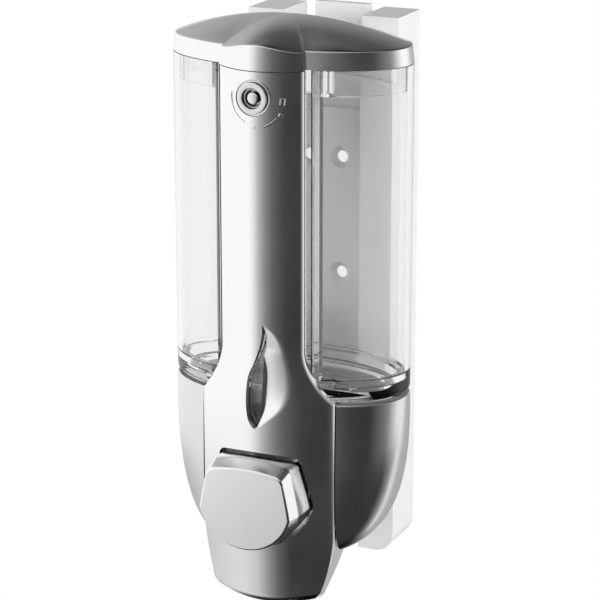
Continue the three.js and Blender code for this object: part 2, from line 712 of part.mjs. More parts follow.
function makeBackShell() {
  const shelfTop = -SHELF_DROP;
  const shelf = loft([oval(SHELL_WALL / 2, shelfTop - SHELF_THICK), oval(SHELL_WALL / 2, shelfTop)])
    .subtract(loft([
      oval(SHELF_INSET, shelfTop - SHELF_THICK - OVERRUN),
      oval(SHELF_INSET, shelfTop + OVERRUN),
    ]));
  let shell = shellSkin(0)
    .subtract(shellSkin(SHELL_WALL))
    .add(shelf)
    .subtract(housingFront());
  const ribBack = -BOSS_END + GAP + RIB_THICK;
  for (const z of BOSS_HEIGHTS) {
    for (const side of [-1, 1]) {
      const inner = side * RIB_INNER;
      const outer = side * (BODY_HALF_WIDTH - SHELL_WALL * 3);
      const rib = box(
        [Math.min(inner, outer), -BOSS_END + GAP, z - RIB_HALF_HEIGHT],
        [Math.max(inner, outer), ribBack, z + RIB_HALF_HEIGHT],
      );
      shell = shell.add(rib.intersect(shellSkin(SHELL_WALL / 2)));
    }
  }
  for (const [x, z] of bossPlaces()) {
    const pilot = rod(PILOT_RADIUS, -BOSS_END - OVERRUN, ribBack + OVERRUN, 'y', [x, 0, z], SMALL_STEPS);
    shell = shell.subtract(pilot);
  }
  const fingerFront = -CROSSBAR_FRONT + CROSSBAR_THICK + GAP;
  for (const side of [-1, 1]) {
    const low = side * HOOK_PLACE - HOOK_WIDTH / 2;
    const high = side * HOOK_PLACE + HOOK_WIDTH / 2;
    shell = shell
      .add(box([low, -WALL_TO_BODY - SHELL_WALL, HOOK_TOP - HOOK_ARM_DROP], [high, fingerFront, HOOK_TOP]))
      .add(box(
        [low, fingerFront, HOOK_TOP - HOOK_FINGER_DROP],
        [high, fingerFront + HOOK_FINGER_THICK, HOOK_TOP],
      ));
  }
  return shell;
}

// Wall bracket: a plate with two hollow rails, a crossbar for the hooks and a springy centre tab
const BRACKET_HALF_WIDTH = 28.7;
const BRACKET_RAIL_INNER = 15;
const BRACKET_ABOVE_TANK = 10.5;
const BRACKET_TOP = TANK_HEIGHT + BRACKET_ABOVE_TANK;
const BRACKET_ABOVE_CHIN = 3;
const BRACKET_BOTTOM = -CHIN_DROP + BRACKET_ABOVE_CHIN;
const BRACKET_CLEARANCE = 1.5;
const BRACKET_RAIL_DEPTH = WALL_TO_BODY - BRACKET_CLEARANCE;
const BRACKET_PLATE = 3;
const BRACKET_WALL = 2.5;
const BRACKET_CORNER_RADIUS = 7;
const TAB_HALF_WIDTH = 10.5;
const TAB_PROUD = 0.9;
const TAB_TOP = BRACKET_TOP + TAB_PROUD;
const TAB_LENGTH = 33.4;
const TAB_BOTTOM = TAB_TOP - TAB_LENGTH;
const LEDGE_BELOW_TAB = 4;
const LEDGE_HEIGHT = 12.5;
const LEDGE_TOP = TAB_BOTTOM - LEDGE_BELOW_TAB;
const LEDGE_BOTTOM = LEDGE_TOP - LEDGE_HEIGHT;
const LEDGE_THICK = 2;
const SCREW_HOLE_RADIUS = 2.2;
const SCREW_HEAD_RADIUS = 4;
const SCREW_HEAD_DEPTH = 2;
const SCREW_SPACING = 12;
const SCREW_UPPER_Z = 72.5;
const SCREW_LOWER_Z = 29.8;
const SCREW_HOLES = [
  [-SCREW_SPACING, SCREW_UPPER_Z],
  [0, SCREW_UPPER_Z],
  [SCREW_SPACING, SCREW_UPPER_Z],
  [0, SCREW_LOWER_Z],
];
const CROSSBAR_HALF_HEIGHT = 5;

function bracketOutline(left, right) {
  const shape = new THREE.Shape();
  const r = BRACKET_CORNER_RADIUS;
  shape.moveTo(left, BRACKET_TOP);
  shape.lineTo(left, BRACKET_BOTTOM + r);
  if (left < 0) shape.absarc(left + r, BRACKET_BOTTOM + r, r, Math.PI, Math.PI * 1.5, false);
  else shape.lineTo(left, BRACKET_BOTTOM);
  if (right > 0) shape.absarc(right - r, BRACKET_BOTTOM + r, r, Math.PI * 1.5, Math.PI * 2, false);
  else shape.lineTo(right, BRACKET_BOTTOM);
  shape.lineTo(right, BRACKET_TOP);
  shape.closePath();
  return shape;
}

// A slab of the given outline, standing from the wall out to a distance
function fromWall(shape, depth, start = 0) {
  const settings = { depth: depth - start, bevelEnabled: false, curveSegments: CORNER_STEPS };
  const geometry = new THREE.ExtrudeGeometry(shape, settings);
  geometry.rotateX(Math.PI / 2);
  geometry.translate(0, -start, 0);
  return solid(geometry);
}

function makeBracket() {
  let bracket = fromWall(bracketOutline(-BRACKET_HALF_WIDTH, BRACKET_HALF_WIDTH), BRACKET_PLATE);
  for (const side of [-1, 1]) {
    const near = side * BRACKET_RAIL_INNER;
    const far = side * BRACKET_HALF_WIDTH;
    const left = Math.min(near, far);
    const right = Math.max(near, far);
    const rail = fromWall(bracketOutline(left, right), BRACKET_RAIL_DEPTH);
    const hollow = box(
      [left + BRACKET_WALL, -BRACKET_RAIL_DEPTH + BRACKET_WALL, BRACKET_BOTTOM + BRACKET_CORNER_RADIUS],
      [right - BRACKET_WALL, OVERRUN, BRACKET_TOP - BRACKET_WALL],
    );
    bracket = bracket.add(rail).subtract(hollow);
  }
  const slotFront = -BRACKET_PLATE - OVERRUN;
  const slotBox = (from, to) => box([from, slotFront, TAB_BOTTOM], [to, OVERRUN, BRACKET_TOP + OVERRUN]);
  bracket = bracket
    .subtract(slotBox(TAB_HALF_WIDTH, BRACKET_RAIL_INNER))
    .subtract(slotBox(-BRACKET_RAIL_INNER, -TAB_HALF_WIDTH))
    .add(box([-TAB_HALF_WIDTH, -BRACKET_PLATE, TAB_BOTTOM], [TAB_HALF_WIDTH, 0, TAB_TOP]));
  const crossZ = HOOK_TOP - HOOK_ARM_DROP - GAP;
  bracket = bracket
    .add(box(
      [-BRACKET_RAIL_INNER - BRACKET_WALL / 2, -CROSSBAR_FRONT, crossZ - 2 * CROSSBAR_HALF_HEIGHT],
      [BRACKET_RAIL_INNER + BRACKET_WALL / 2, -CROSSBAR_FRONT + CROSSBAR_THICK, crossZ],
    ))
    .add(box(
      [-BRACKET_RAIL_INNER - BRACKET_WALL / 2, -BRACKET_PLATE - LEDGE_THICK, LEDGE_BOTTOM],
      [BRACKET_RAIL_INNER + BRACKET_WALL / 2, -BRACKET_PLATE / 2, LEDGE_TOP],
    ));
  for (const [x, z] of SCREW_HOLES) {
    const sink = -BRACKET_PLATE + SCREW_HEAD_DEPTH;
    const front = -BRACKET_PLATE - OVERRUN;
    bracket = bracket.subtract(turned(
      [[0, front], [SCREW_HEAD_RADIUS, front], [SCREW_HEAD_RADIUS, -BRACKET_PLATE],
        [SCREW_HOLE_RADIUS, sink], [SCREW_HOLE_RADIUS, OVERRUN], [0, OVERRUN]],
      'y',
      [x, 0, z],
      SMALL_STEPS,
    ));
  }
  return bracket;
}

// Lock: bezel in front of the panel, body through it, nut behind, and a cam on the turning plug
const BEZEL_THICK = 1;
const BEZEL_INNER = 4.4;
const BEZEL_DISH = 0.4;
const BEZEL_EDGE = 0.9;
const LOCK_BODY_RADIUS = 4.7;
const PLUG_RADIUS = 3.2;
const PLUG_CLEARANCE = 0.15;
const PLUG_SETBACK = 1;
const KEY_WELL_DEPTH = 2.4;
const KEY_WELL_RADIUS = 2.8;
const KEY_PIN_RADIUS = 1.5;
const KEY_PIN_CHAMFER = 0.4;
const KEY_PIN_SETBACK = 0.5;
const LOCK_NUT_RADIUS = 7;
const LOCK_NUT_THICK = 2.6;
const LOCK_NUT_ROOM = 1.1;
const HEX = 6;
const CAM_HUB_EDGE = 1;
const CAM_SCREW_RADIUS = 1.1;
const CAM_SCREW_DEPTH = 3.7;
const CAM_HEAD_RADIUS = 2.2;
const CAM_HEAD_THICK = 1.1;
const LOCK_FACE = -FRONT_REACH - BEZEL_THICK;
const PLUG_FACE = LOCK_FACE + PLUG_SETBACK;
const KEY_WELL_END = PLUG_FACE + KEY_WELL_DEPTH;
const CAM_BORE = CAM_SCREW_RADIUS + GAP / 2;
const NUT_FRONT = -FRONT_REACH + PANEL_WALL + LOCK_NUT_ROOM;

function makeLockBezel() {
  const seat = -FRONT_REACH - GAP / 2;
  return turned(
    [[BEZEL_INNER, LOCK_FACE + BEZEL_DISH], [LOCK_RING_RADIUS - BEZEL_EDGE, LOCK_FACE - BEZEL_DISH],
      [LOCK_RING_RADIUS, LOCK_FACE], [LOCK_RING_RADIUS, seat], [BEZEL_INNER, seat]],
    'y',
    LOCK_AT,
  );
}

function makeLockBody() {
  return ring(LOCK_BODY_RADIUS, PLUG_RADIUS + PLUG_CLEARANCE, LOCK_BODY_FRONT, LOCK_BODY_BACK, 'y', LOCK_AT);
}

function makeLockPlug() {
  const threadEnd = LOCK_BODY_BACK - CAM_SCREW_DEPTH - GAP;
  return turned(
    [[0, KEY_WELL_END], [KEY_WELL_RADIUS, KEY_WELL_END], [KEY_WELL_RADIUS, PLUG_FACE], [PLUG_RADIUS, PLUG_FACE],
      [PLUG_RADIUS, LOCK_BODY_BACK + GAP], [0, LOCK_BODY_BACK + GAP]],
    'y',
    LOCK_AT,
  ).subtract(rod(CAM_BORE, threadEnd, LOCK_BODY_BACK + OVERRUN, 'y', LOCK_AT, SMALL_STEPS));
}

function makeLockPin() {
  const tip = PLUG_FACE - KEY_PIN_SETBACK;
  return turned(
    [[0, KEY_WELL_END - GAP], [KEY_PIN_RADIUS, KEY_WELL_END - GAP], [KEY_PIN_RADIUS, tip + KEY_PIN_CHAMFER],
      [KEY_PIN_RADIUS - KEY_PIN_CHAMFER, tip], [0, tip]],
    'y',
    LOCK_AT,
    SMALL_STEPS,
  );
}

// At rest the cam stands straight up, clear of the lid's catch
function makeLockCam() {
  const back = CAM_FRONT + CAM_THICK;
  const hub = rod(PLUG_RADIUS + CAM_HUB_EDGE, CAM_FRONT, back, 'y', LOCK_AT);
  const arm = box([-CAM_HALF_WIDTH, CAM_FRONT, LOCK_Z], [CAM_HALF_WIDTH, back, LOCK_Z + CAM_REACH]);
  return hub.add(arm).subtract(rod(CAM_BORE, CAM_FRONT - OVERRUN, back + OVERRUN, 'y', LOCK_AT, SMALL_STEPS));
}

function makeCamScrew() {
  const seat = CAM_FRONT + CAM_THICK + GAP;
  const tip = LOCK_BODY_BACK - CAM_SCREW_DEPTH;
  return turned(
    [[0, tip], [CAM_SCREW_RADIUS, tip], [CAM_SCREW_RADIUS, seat], [CAM_HEAD_RADIUS, seat],
      [CAM_HEAD_RADIUS, seat + CAM_HEAD_THICK], [0, seat + CAM_HEAD_THICK]],
    'y',
    LOCK_AT,
    SMALL_STEPS,
  );
}

function makeLockNut() {
  return rod(LOCK_NUT_RADIUS, NUT_FRONT, NUT_FRONT + LOCK_NUT_THICK, 'y', LOCK_AT, HEX)
    .subtract(rod(LOCK_BODY_RADIUS + GAP / 2, NUT_FRONT - OVERRUN, NUT_FRONT + OVERRUN, 'y', LOCK_AT));
}

// Level window: a clear flame that fills the panel's opening, with a rim behind it
const WINDOW_DEPTH = 1.2;
const WINDOW_RIM = 1.2;
const WINDOW_BOW_ROOM = 0.9;

function makeSightWindow() {
  const front = -FRONT_REACH + WINDOW_DEPTH;
  const behind = -FRONT_REACH + PANEL_WALL + WINDOW_BOW_ROOM + GAP;
  return flamePrism(GAP, front, behind + GAP).add(flamePrism(-WINDOW_RIM, behind, behind + WINDOW_DEPTH));
}

// Pump: a barrel behind the button, hung from the tank's neck
const PUMP_ABOVE_BUTTON = 2;
const PUMP_SETBACK = 7.3;
const PUMP_LENGTH = 22.2;
const PUMP_Z = BUTTON_Z + PUMP_ABOVE_BUTTON;
const PUMP_FRONT = FRONT_REACH - PUMP_SETBACK;
const PUMP_BACK = PUMP_FRONT - PUMP_LENGTH;
const PUMP_RADIUS = 9;
const PUMP_BORE = 7;
const PUMP_END_WALL = 2.2;
const PISTON_CLEARANCE = 0.3;
const PISTON_LENGTH = 4.4;
const PISTON_SETBACK = 0.8;
const PISTON_FACE = PUMP_FRONT - PISTON_SETBACK - PISTON_LENGTH;
const ROD_RADIUS = 2.6;
const TOWER_RADIUS = 6;
const FLANGE_RADIUS = 7.8;
const FLANGE_THICK = 2;
const SEAL_THICK = 1;
const CAGE_BORE = 3.4;
const CAGE_FLOOR = 1.4;
const CAGE_LEDGE_Z = PUMP_Z + PUMP_RADIUS + CAGE_FLOOR;
const SEAT_BORE = 4.9;
const SEAT_THICK = 1.5;
const BALL_RADIUS = 2.8;
const PORT_RADIUS = 1.9;
const SPOUT_RADIUS = 5;
const SPOUT_BORE = 3.6;
const SPOUT_RECESS = 1;
const NOZZLE_RECESS = 8;
const SPOUT_END = -SHELL_DROP + SPOUT_RECESS;
const NOZZLE_END = -CHIN_DROP + NOZZLE_RECESS;
const NECK_AT = [0, -NECK_DISTANCE, 0];
const PUMP_AT = [0, 0, PUMP_Z];
const FLANGE_TOP = -NECK_LENGTH - SEAL_THICK - 2 * GAP;
const SEAT_DEPTH = 4;
const SEAT_LEDGE_Z = FLANGE_TOP - SEAT_DEPTH;

function makePumpBody() {
  return rod(PUMP_RADIUS, -PUMP_FRONT, -PUMP_BACK, 'y', PUMP_AT)
    .add(rod(TOWER_RADIUS, PUMP_Z, FLANGE_TOP, 'z', NECK_AT))
    .add(rod(FLANGE_RADIUS, FLANGE_TOP - FLANGE_THICK, FLANGE_TOP, 'z', NECK_AT))
    .add(rod(SPOUT_RADIUS, SPOUT_END, PUMP_Z, 'z', NECK_AT))
    .subtract(rod(PUMP_BORE, -PUMP_FRONT - OVERRUN, -PUMP_BACK - PUMP_END_WALL, 'y', PUMP_AT))
    .subtract(rod(SEAT_BORE, SEAT_LEDGE_Z, FLANGE_TOP + OVERRUN, 'z', NECK_AT))
    .subtract(rod(CAGE_BORE, CAGE_LEDGE_Z, FLANGE_TOP, 'z', NECK_AT))
    .subtract(rod(PORT_RADIUS, PUMP_Z, CAGE_LEDGE_Z + OVERRUN, 'z', NECK_AT, SMALL_STEPS))
    .subtract(rod(SPOUT_BORE, SPOUT_END - OVERRUN, PUMP_Z - PUMP_RADIUS, 'z', NECK_AT))
    .subtract(rod(PORT_RADIUS, PUMP_Z - PUMP_RADIUS - OVERRUN, PUMP_Z, 'z', NECK_AT, SMALL_STEPS));
}

const CAP_RADIUS = 10;
const CAP_LIP = 4;
const CAP_PLATE = 1.4;

function makePumpCap() {
  const face = -PUMP_FRONT - GAP;
  const guide = ROD_RADIUS + GAP;
  return turned(
    [[guide, face - CAP_PLATE], [CAP_RADIUS, face - CAP_PLATE], [CAP_RADIUS, face + CAP_LIP],
      [PUMP_RADIUS + GAP / 2, face + CAP_LIP], [PUMP_RADIUS + GAP / 2, face], [guide, face]],
    'y',
    PUMP_AT,
  );
}

const SEAL_GROOVE = 1.6;
const SEAL_GROOVE_DEPTH = 1.4;

function makePiston() {
  const radius = PUMP_BORE - PISTON_CLEARANCE;
  const front = -PISTON_FACE - PISTON_LENGTH;
  const middle = -PISTON_FACE - PISTON_LENGTH / 2;
  const half = SEAL_GROOVE / 2;
  const groove = ring(radius + OVERRUN, radius - SEAL_GROOVE_DEPTH, middle - half, middle + half, 'y', PUMP_AT);
  return rod(radius, front, -PISTON_FACE, 'y', PUMP_AT).subtract(groove);
}

function makePistonSeal() {
  const middle = -PISTON_FACE - PISTON_LENGTH / 2;
  const half = SEAL_GROOVE / 2 - GAP / 2;
  const outer = PUMP_BORE - PISTON_CLEARANCE / 2;
  const inner = PUMP_BORE - PISTON_CLEARANCE - SEAL_GROOVE_DEPTH + GAP / 2;
  return ring(outer, inner, middle - half, middle + half, 'y', PUMP_AT);
}

function makePushRod() {
  const front = -BUTTON_FACE + BUTTON_WALL + GAP;
  const back = -PISTON_FACE - PISTON_LENGTH - GAP;
  return rod(ROD_RADIUS, front, back, 'y', PUMP_AT);
}

// Button: a hollow cap with a socket for the rod and two ears that stop it in the panel
const SOCKET_WALL = 1.8;
const SOCKET_LENGTH = 3.4;
const EAR_ROOT = 3.3;
const EAR_REACH = 1.2;
const EAR_INNER = BUTTON_HALF_WIDTH - EAR_ROOT;
const EAR_OUTER = BUTTON_HALF_WIDTH + BUTTON_OPENING_GAP + EAR_REACH;
const EAR_HALF_HEIGHT = 3.4;
const EAR_SETBACK = 10.1;
const EAR_FRONT = FRONT_REACH - EAR_SETBACK;
const EAR_THICK = 2;
const EAR_ARM_OVERLAP = 1;
const EAR_RISE = 1.5;
const EAR_Z = BUTTON_Z + EAR_RISE;

function makePushButton() {
  let button = buttonSkin(0, BUTTON_FACE, BUTTON_BACK)
    .subtract(buttonSkin(BUTTON_WALL, BUTTON_FACE - BUTTON_WALL, BUTTON_BACK - OVERRUN));
  const socketFront = -BUTTON_FACE + BUTTON_WALL / 2;
  const socketEnd = -BUTTON_FACE + BUTTON_WALL + SOCKET_LENGTH;
  button = button
    .add(rod(ROD_RADIUS + SOCKET_WALL, socketFront, socketEnd, 'y', PUMP_AT))
    .subtract(rod(ROD_RADIUS + GAP / 2, -BUTTON_FACE + BUTTON_WALL, socketEnd + OVERRUN, 'y', PUMP_AT));
  for (const side of [-1, 1]) {
    const inner = side * EAR_INNER;
    const outer = side * EAR_OUTER;
    const armOuter = side * (BUTTON_HALF_WIDTH - BUTTON_WALL / 4);
    const armInner = side * (BUTTON_HALF_WIDTH - BUTTON_WALL);
    button = button
      .add(box(
        [Math.min(armInner, armOuter), -BUTTON_BACK - EAR_ARM_OVERLAP, EAR_Z - EAR_HALF_HEIGHT],
        [Math.max(armInner, armOuter), -EAR_FRONT + EAR_THICK, EAR_Z + EAR_HALF_HEIGHT],
      ))
      .add(box(
        [Math.min(inner, outer), -EAR_FRONT, EAR_Z - EAR_HALF_HEIGHT],
        [Math.max(inner, outer), -EAR_FRONT + EAR_THICK, EAR_Z + EAR_HALF_HEIGHT],
      ));
  }
  return button;
}

// Return spring behind the piston, one unbroken coil
const SPRING_RADIUS = 4.6;
const SPRING_WIRE = 0.9;
const SPRING_TURNS = 6;
const SPRING_SIDES = 5;
const SPRING_STEPS_PER_TURN = 8;

class Helix extends THREE.Curve {
  getPoint(t, target = new THREE.Vector3()) {
    const from = -PISTON_FACE + GAP + SPRING_WIRE / 2;
    const to = -PUMP_BACK - PUMP_END_WALL - GAP - SPRING_WIRE / 2;
    const angle = 2 * Math.PI * SPRING_TURNS * t;
    return target.set(
      SPRING_RADIUS * Math.cos(angle),
      from + (to - from) * t,
      PUMP_Z + SPRING_RADIUS * Math.sin(angle),
    );
  }
}

function makeSpring() {
  const path = new Helix();
  const count = SPRING_TURNS * SPRING_STEPS_PER_TURN;
  const up = new THREE.Vector3(0, 1, 0);
  const rings = steps(0, 1, count).map((t) => {
    const centre = path.getPoint(t);
    const outward = new THREE.Vector3(centre.x, 0, centre.z - PUMP_Z).normalize();
    return Array.from({ length: SPRING_SIDES }, (_, i) => {
      const angle = (2 * Math.PI * i) / SPRING_SIDES;
      const point = centre.clone()
        .addScaledVector(outward, (SPRING_WIRE / 2) * Math.cos(angle))
        .addScaledVector(up, (SPRING_WIRE / 2) * Math.sin(angle));
      return point.toArray();
    });
  });
  return loft(rings);
}

const NECK_NUT_WALL = 2.4;

function makeNeckNut() {
  const lipTop = FLANGE_TOP - FLANGE_THICK - GAP;
  return turned(
    [[TOWER_RADIUS + GAP, lipTop - FLANGE_THICK], [NECK_RADIUS + NECK_NUT_WALL, lipTop - FLANGE_THICK],
      [NECK_RADIUS + NECK_NUT_WALL, -NECK_LENGTH / 3], [NECK_RADIUS + GAP, -NECK_LENGTH / 3],
      [NECK_RADIUS + GAP, lipTop], [TOWER_RADIUS + GAP, lipTop]],
    'z',
    NECK_AT,
  );
}

function makeNeckSeal() {
  const top = -NECK_LENGTH - GAP;
  return ring(NECK_RADIUS - GAP, NECK_BORE, top - SEAL_THICK, top, 'z', NECK_AT);
}

function makeInletSeat() {
  const low = SEAT_LEDGE_Z + GAP / 2;
  return ring(SEAT_BORE - GAP / 2, PORT_RADIUS, low, low + SEAT_THICK, 'z', NECK_AT);
}

function makeInletBall() {
  const rise = Math.sqrt(BALL_RADIUS ** 2 - PORT_RADIUS ** 2) + GAP / 2;
  const geometry = new THREE.SphereGeometry(BALL_RADIUS, SMALL_STEPS, SMALL_STEPS / 2);
  geometry.rotateX(Math.PI / 2);
  geometry.translate(0, -NECK_DISTANCE, CAGE_LEDGE_Z + rise);
  return solid(geometry);
}

const VALVE_FLANGE = 1.2;
const VALVE_MOUTH_RADIUS = 1.4;
const VALVE_ROOT_RADIUS = 2.4;
const VALVE_TIP_RADIUS = 0.9;
const VALVE_SLIT_RADIUS = 0.3;

function makeOutletValve() {
  const top = SPOUT_END - GAP;
  const tip = top - VALVE_FLANGE - SPOUT_BORE;
  return turned(
    [[VALVE_MOUTH_RADIUS, top], [SPOUT_RADIUS - GAP, top], [SPOUT_RADIUS - GAP, top - VALVE_FLANGE],
      [VALVE_ROOT_RADIUS, top - VALVE_FLANGE], [VALVE_TIP_RADIUS, tip], [VALVE_SLIT_RADIUS, tip]],
    'z',
    NECK_AT,
    SMALL_STEPS,
  );
}

const NOZZLE_WALL = 1.5;
const NOZZLE_TIP_WALL = 1;

function makeNozzle() {
  const bore = SPOUT_RADIUS + GAP;
  const outer = bore + NOZZLE_WALL;
  const ledge = SPOUT_END - VALVE_FLANGE - 2 * GAP;
  const tipOuter = SPOUT_BORE;
  const tipBore = tipOuter - NOZZLE_TIP_WALL;
  return turned(
    [[bore, SPOUT_END + OVERRUN], [outer, SPOUT_END + OVERRUN], [outer, ledge - GAP], [tipOuter, NOZZLE_END],
      [tipBore, NOZZLE_END], [tipBore + GAP, ledge], [bore, ledge]],
    'z',
    NECK_AT,
  );
}

// Soft ring that the tank stands on
const TANK_SEAL_INSET = 3.4;
const TANK_SEAL_WIDTH = 2.2;

function makeTankSeal() {
  const bottom = -SHELF_DROP + GAP;
  const top = TANK_BOTTOM - GAP;
  return tankPlan(TANK_SEAL_INSET, bottom, top)
    .subtract(tankPlan(TANK_SEAL_INSET + TANK_SEAL_WIDTH, bottom - OVERRUN, top + OVERRUN))
    .subtract(housingFront());
}

// Screws that hold the front panel to the housing
const PANEL_SCREW_HEAD = 2.6;
const PANEL_SCREW_HEAD_THICK = 1.8;
const PANEL_SCREW_LENGTH = 9;

function makePanelScrew(x, z) {
  const seat = -BOSS_END + 2 * GAP + RIB_THICK;
  const tip = seat - PANEL_SCREW_LENGTH;
  return turned(
    [[0, tip], [SCREW_RADIUS, tip], [SCREW_RADIUS, seat], [PANEL_SCREW_HEAD, seat],
      [PANEL_SCREW_HEAD, seat + PANEL_SCREW_HEAD_THICK], [0, seat + PANEL_SCREW_HEAD_THICK]],
    'y',
    [x, 0, z],
    SMALL_STEPS,
  );
}

piece('wall_bracket', makeBracket(), bracketGrey);
piece('back_shell', makeBackShell(), darkSilver);
piece('front_panel', makeFrontPanel(), silver);
piece('reservoir', makeReservoir(), clear);
piece('tank_seal', makeTankSeal(), rubber);
piece('top_collar', makeCollar(), clear);
piece('hinge_pin', makeHingePin(), steel);
piece('lid', makeLid(), silver);
piece('sight_window', makeSightWindow(), clear);
piece('lock_bezel', makeLockBezel(), chrome);
piece('lock_body', makeLockBody(), steel);
piece('lock_nut', makeLockNut(), steel);
piece('lock_plug', makeLockPlug(), darkSilver);
piece('lock_pin', makeLockPin(), chrome);
piece('lock_cam', makeLockCam(), steel);
piece('cam_screw', makeCamScrew(), steel);
piece('push_button', makePushButton(), silver);
piece('push_rod', makePushRod(), whitePlastic);
piece('piston', makePiston(), whitePlastic);
piece('piston_seal', makePistonSeal(), rubber);
piece('return_spring', makeSpring(), steel);
piece('pump_body', makePumpBody(), whitePlastic);
piece('pump_cap', makePumpCap(), whitePlastic);
piece('neck_nut', makeNeckNut(), whitePlastic);
piece('neck_seal', makeNeckSeal(), rubber);
piece('inlet_seat', makeInletSeat(), whitePlastic);
piece('inlet_ball', makeInletBall(), steel);
piece('outlet_valve', makeOutletValve(), rubber);
piece('nozzle', makeNozzle(), whitePlastic);
bossPlaces().forEach(([x, z], i) => piece(`panel_screw_${i + 1}`, makePanelScrew(x, z), steel));

export default group;
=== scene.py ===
import json
import bmesh
import bpy
from math import acos, asin, copysign, cos, hypot, pi, radians, sin
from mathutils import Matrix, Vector


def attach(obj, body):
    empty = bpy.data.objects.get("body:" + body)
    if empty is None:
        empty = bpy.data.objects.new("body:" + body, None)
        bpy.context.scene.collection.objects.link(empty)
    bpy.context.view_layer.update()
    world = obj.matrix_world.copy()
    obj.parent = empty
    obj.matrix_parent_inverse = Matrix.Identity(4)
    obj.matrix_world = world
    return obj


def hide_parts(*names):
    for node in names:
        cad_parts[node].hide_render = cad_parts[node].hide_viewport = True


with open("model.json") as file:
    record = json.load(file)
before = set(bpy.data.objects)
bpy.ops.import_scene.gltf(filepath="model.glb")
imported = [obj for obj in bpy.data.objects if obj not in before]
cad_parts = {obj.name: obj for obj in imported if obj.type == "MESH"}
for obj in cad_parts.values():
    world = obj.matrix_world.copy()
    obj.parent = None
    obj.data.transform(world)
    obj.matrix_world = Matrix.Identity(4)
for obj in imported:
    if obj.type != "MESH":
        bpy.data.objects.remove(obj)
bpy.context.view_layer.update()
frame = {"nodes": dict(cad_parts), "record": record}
MM = 0.001

# The dispenser's main sizes in millimetres, as in the CAD: front is -Y, the shoulder is at z = 0
HALF_WIDTH = 44
HALF_DEPTH = 24.5
CENTRE_Y = -46.5
FRONT = 78.5
TANK_TOP = 117
SHELL_DROP = 57
CHIN_DROP = 75
PANEL_WALL = 2.4
CLEARANCE = 0.15

# The places of the four screws that hold the panel to the housing
SCREW_X = 21
SCREW_HEIGHTS = (-8, -45)
SCREW_SIDES = 32

# Planes that cutters reach to: in front of everything, behind the panel, the chin and the wall
FAR_FRONT = -90
BEHIND_PANEL = -60
BEHIND_CHIN = -46
BEHIND_WALL = 5


# ---- the camera, at the photograph's angle, in metres except its lens ----

LENS = 143.3
SENSOR_WIDTH = 36
NEAREST = 0.01
CAMERA_AIM = Vector((0, -0.040, 0.0275))
CAMERA_BACK = Vector((0.3896, -0.8750, 0.2874)).normalized()
CAMERA_REACH = 0.850


def add_object(name, data):
    """A new object in the scene."""
    thing = bpy.data.objects.new(name, data)
    bpy.context.scene.collection.objects.link(thing)
    return thing


def turn_back(thing, direction):
    """Turns a camera or a lamp so that its back points along the direction."""
    thing.rotation_euler = direction.to_track_quat("Z", "Y").to_euler()


def aim_camera():
    """The camera, aimed at the dispenser's middle."""
    camera = add_object("camera", bpy.data.cameras.new("camera"))
    bpy.context.scene.camera = camera
    camera.data.lens = LENS
    camera.data.sensor_width = SENSOR_WIDTH
    camera.data.clip_start = NEAREST
    camera.location = CAMERA_AIM + CAMERA_BACK * CAMERA_REACH
    turn_back(camera, CAMERA_BACK)


# ---- making pieces: points are in millimetres ----

SHARP = 32
TINY = 1e-6
FEWEST_FACES = 4
OVAL_SIDES = 160
TURN_SIDES = 72
NEAR_MIDDLE = 0.03
QUARTER = pi / 2


def settle(mesh, sharp):
    """Faces outward, smooth but for edges sharper than the given angle."""
    work = bmesh.new()
    work.from_mesh(mesh)
    bmesh.ops.recalc_face_normals(work, faces=work.faces)
    work.to_mesh(mesh)
    work.free()
    mesh.shade_smooth()
    mesh.set_sharp_from_angle(angle=radians(sharp))


def new_piece(name, points, faces, sharp=SHARP):
    """A piece of the given points and faces."""
    mesh = bpy.data.meshes.new(name)
    mesh.from_pydata([[c * MM for c in point] for point in points], [], faces)
    settle(mesh, sharp)
    return add_object(name, mesh)


def around(count):
    """Even angles round a full turn."""
    return [2 * pi * i / count for i in range(count)]


def span(start, end, count):
    """Even steps from start to end, both included."""
    return [start + (end - start) * i / count for i in range(count + 1)]


def ease(share):
    """A soft step from 0 to 1."""
    t = min(1, max(0, share))
    return t * t * (3 - 2 * t)


def ring_faces(count, rings):
    """The faces between neighbouring rings of equal counts."""
    faces = []
    for r in range(rings - 1):
        for i in range(count):
            a, b = r * count + i, r * count + (i + 1) % count
            faces.append((a, b, b + count, a + count))
    return faces


def skin(name, rings, sharp=SHARP):
    """Closed rings of equal counts joined into a solid with flat ends."""
    count = len(rings[0])
    points = [point for ring in rings for point in ring]
    ends = [tuple(range(count))[::-1], tuple(range(len(points) - count, len(points)))]
    return new_piece(name, points, ends + ring_faces(count, len(rings)), sharp)


def block(name, low, high):
    """A box between two corners."""
    x, y, z = zip(low, high)
    return skin(name, [[(x[0], y[0], h), (x[1], y[0], h), (x[1], y[1], h), (x[0], y[1], h)] for h in z])


def prism(name, outline, front, back):
    """An outline of (x, z) drawn from front to back along Y."""
    return skin(name, [[(x, y, z) for x, z in outline] for y in (front, back)])


def along_x(name, radius, half_length, y, z, sides=40):
    """A round bar along X, about the middle."""
    return skin(name, [[(x, y + radius * cos(a), z + radius * sin(a)) for a in around(sides)]
                       for x in (-half_length, half_length)])


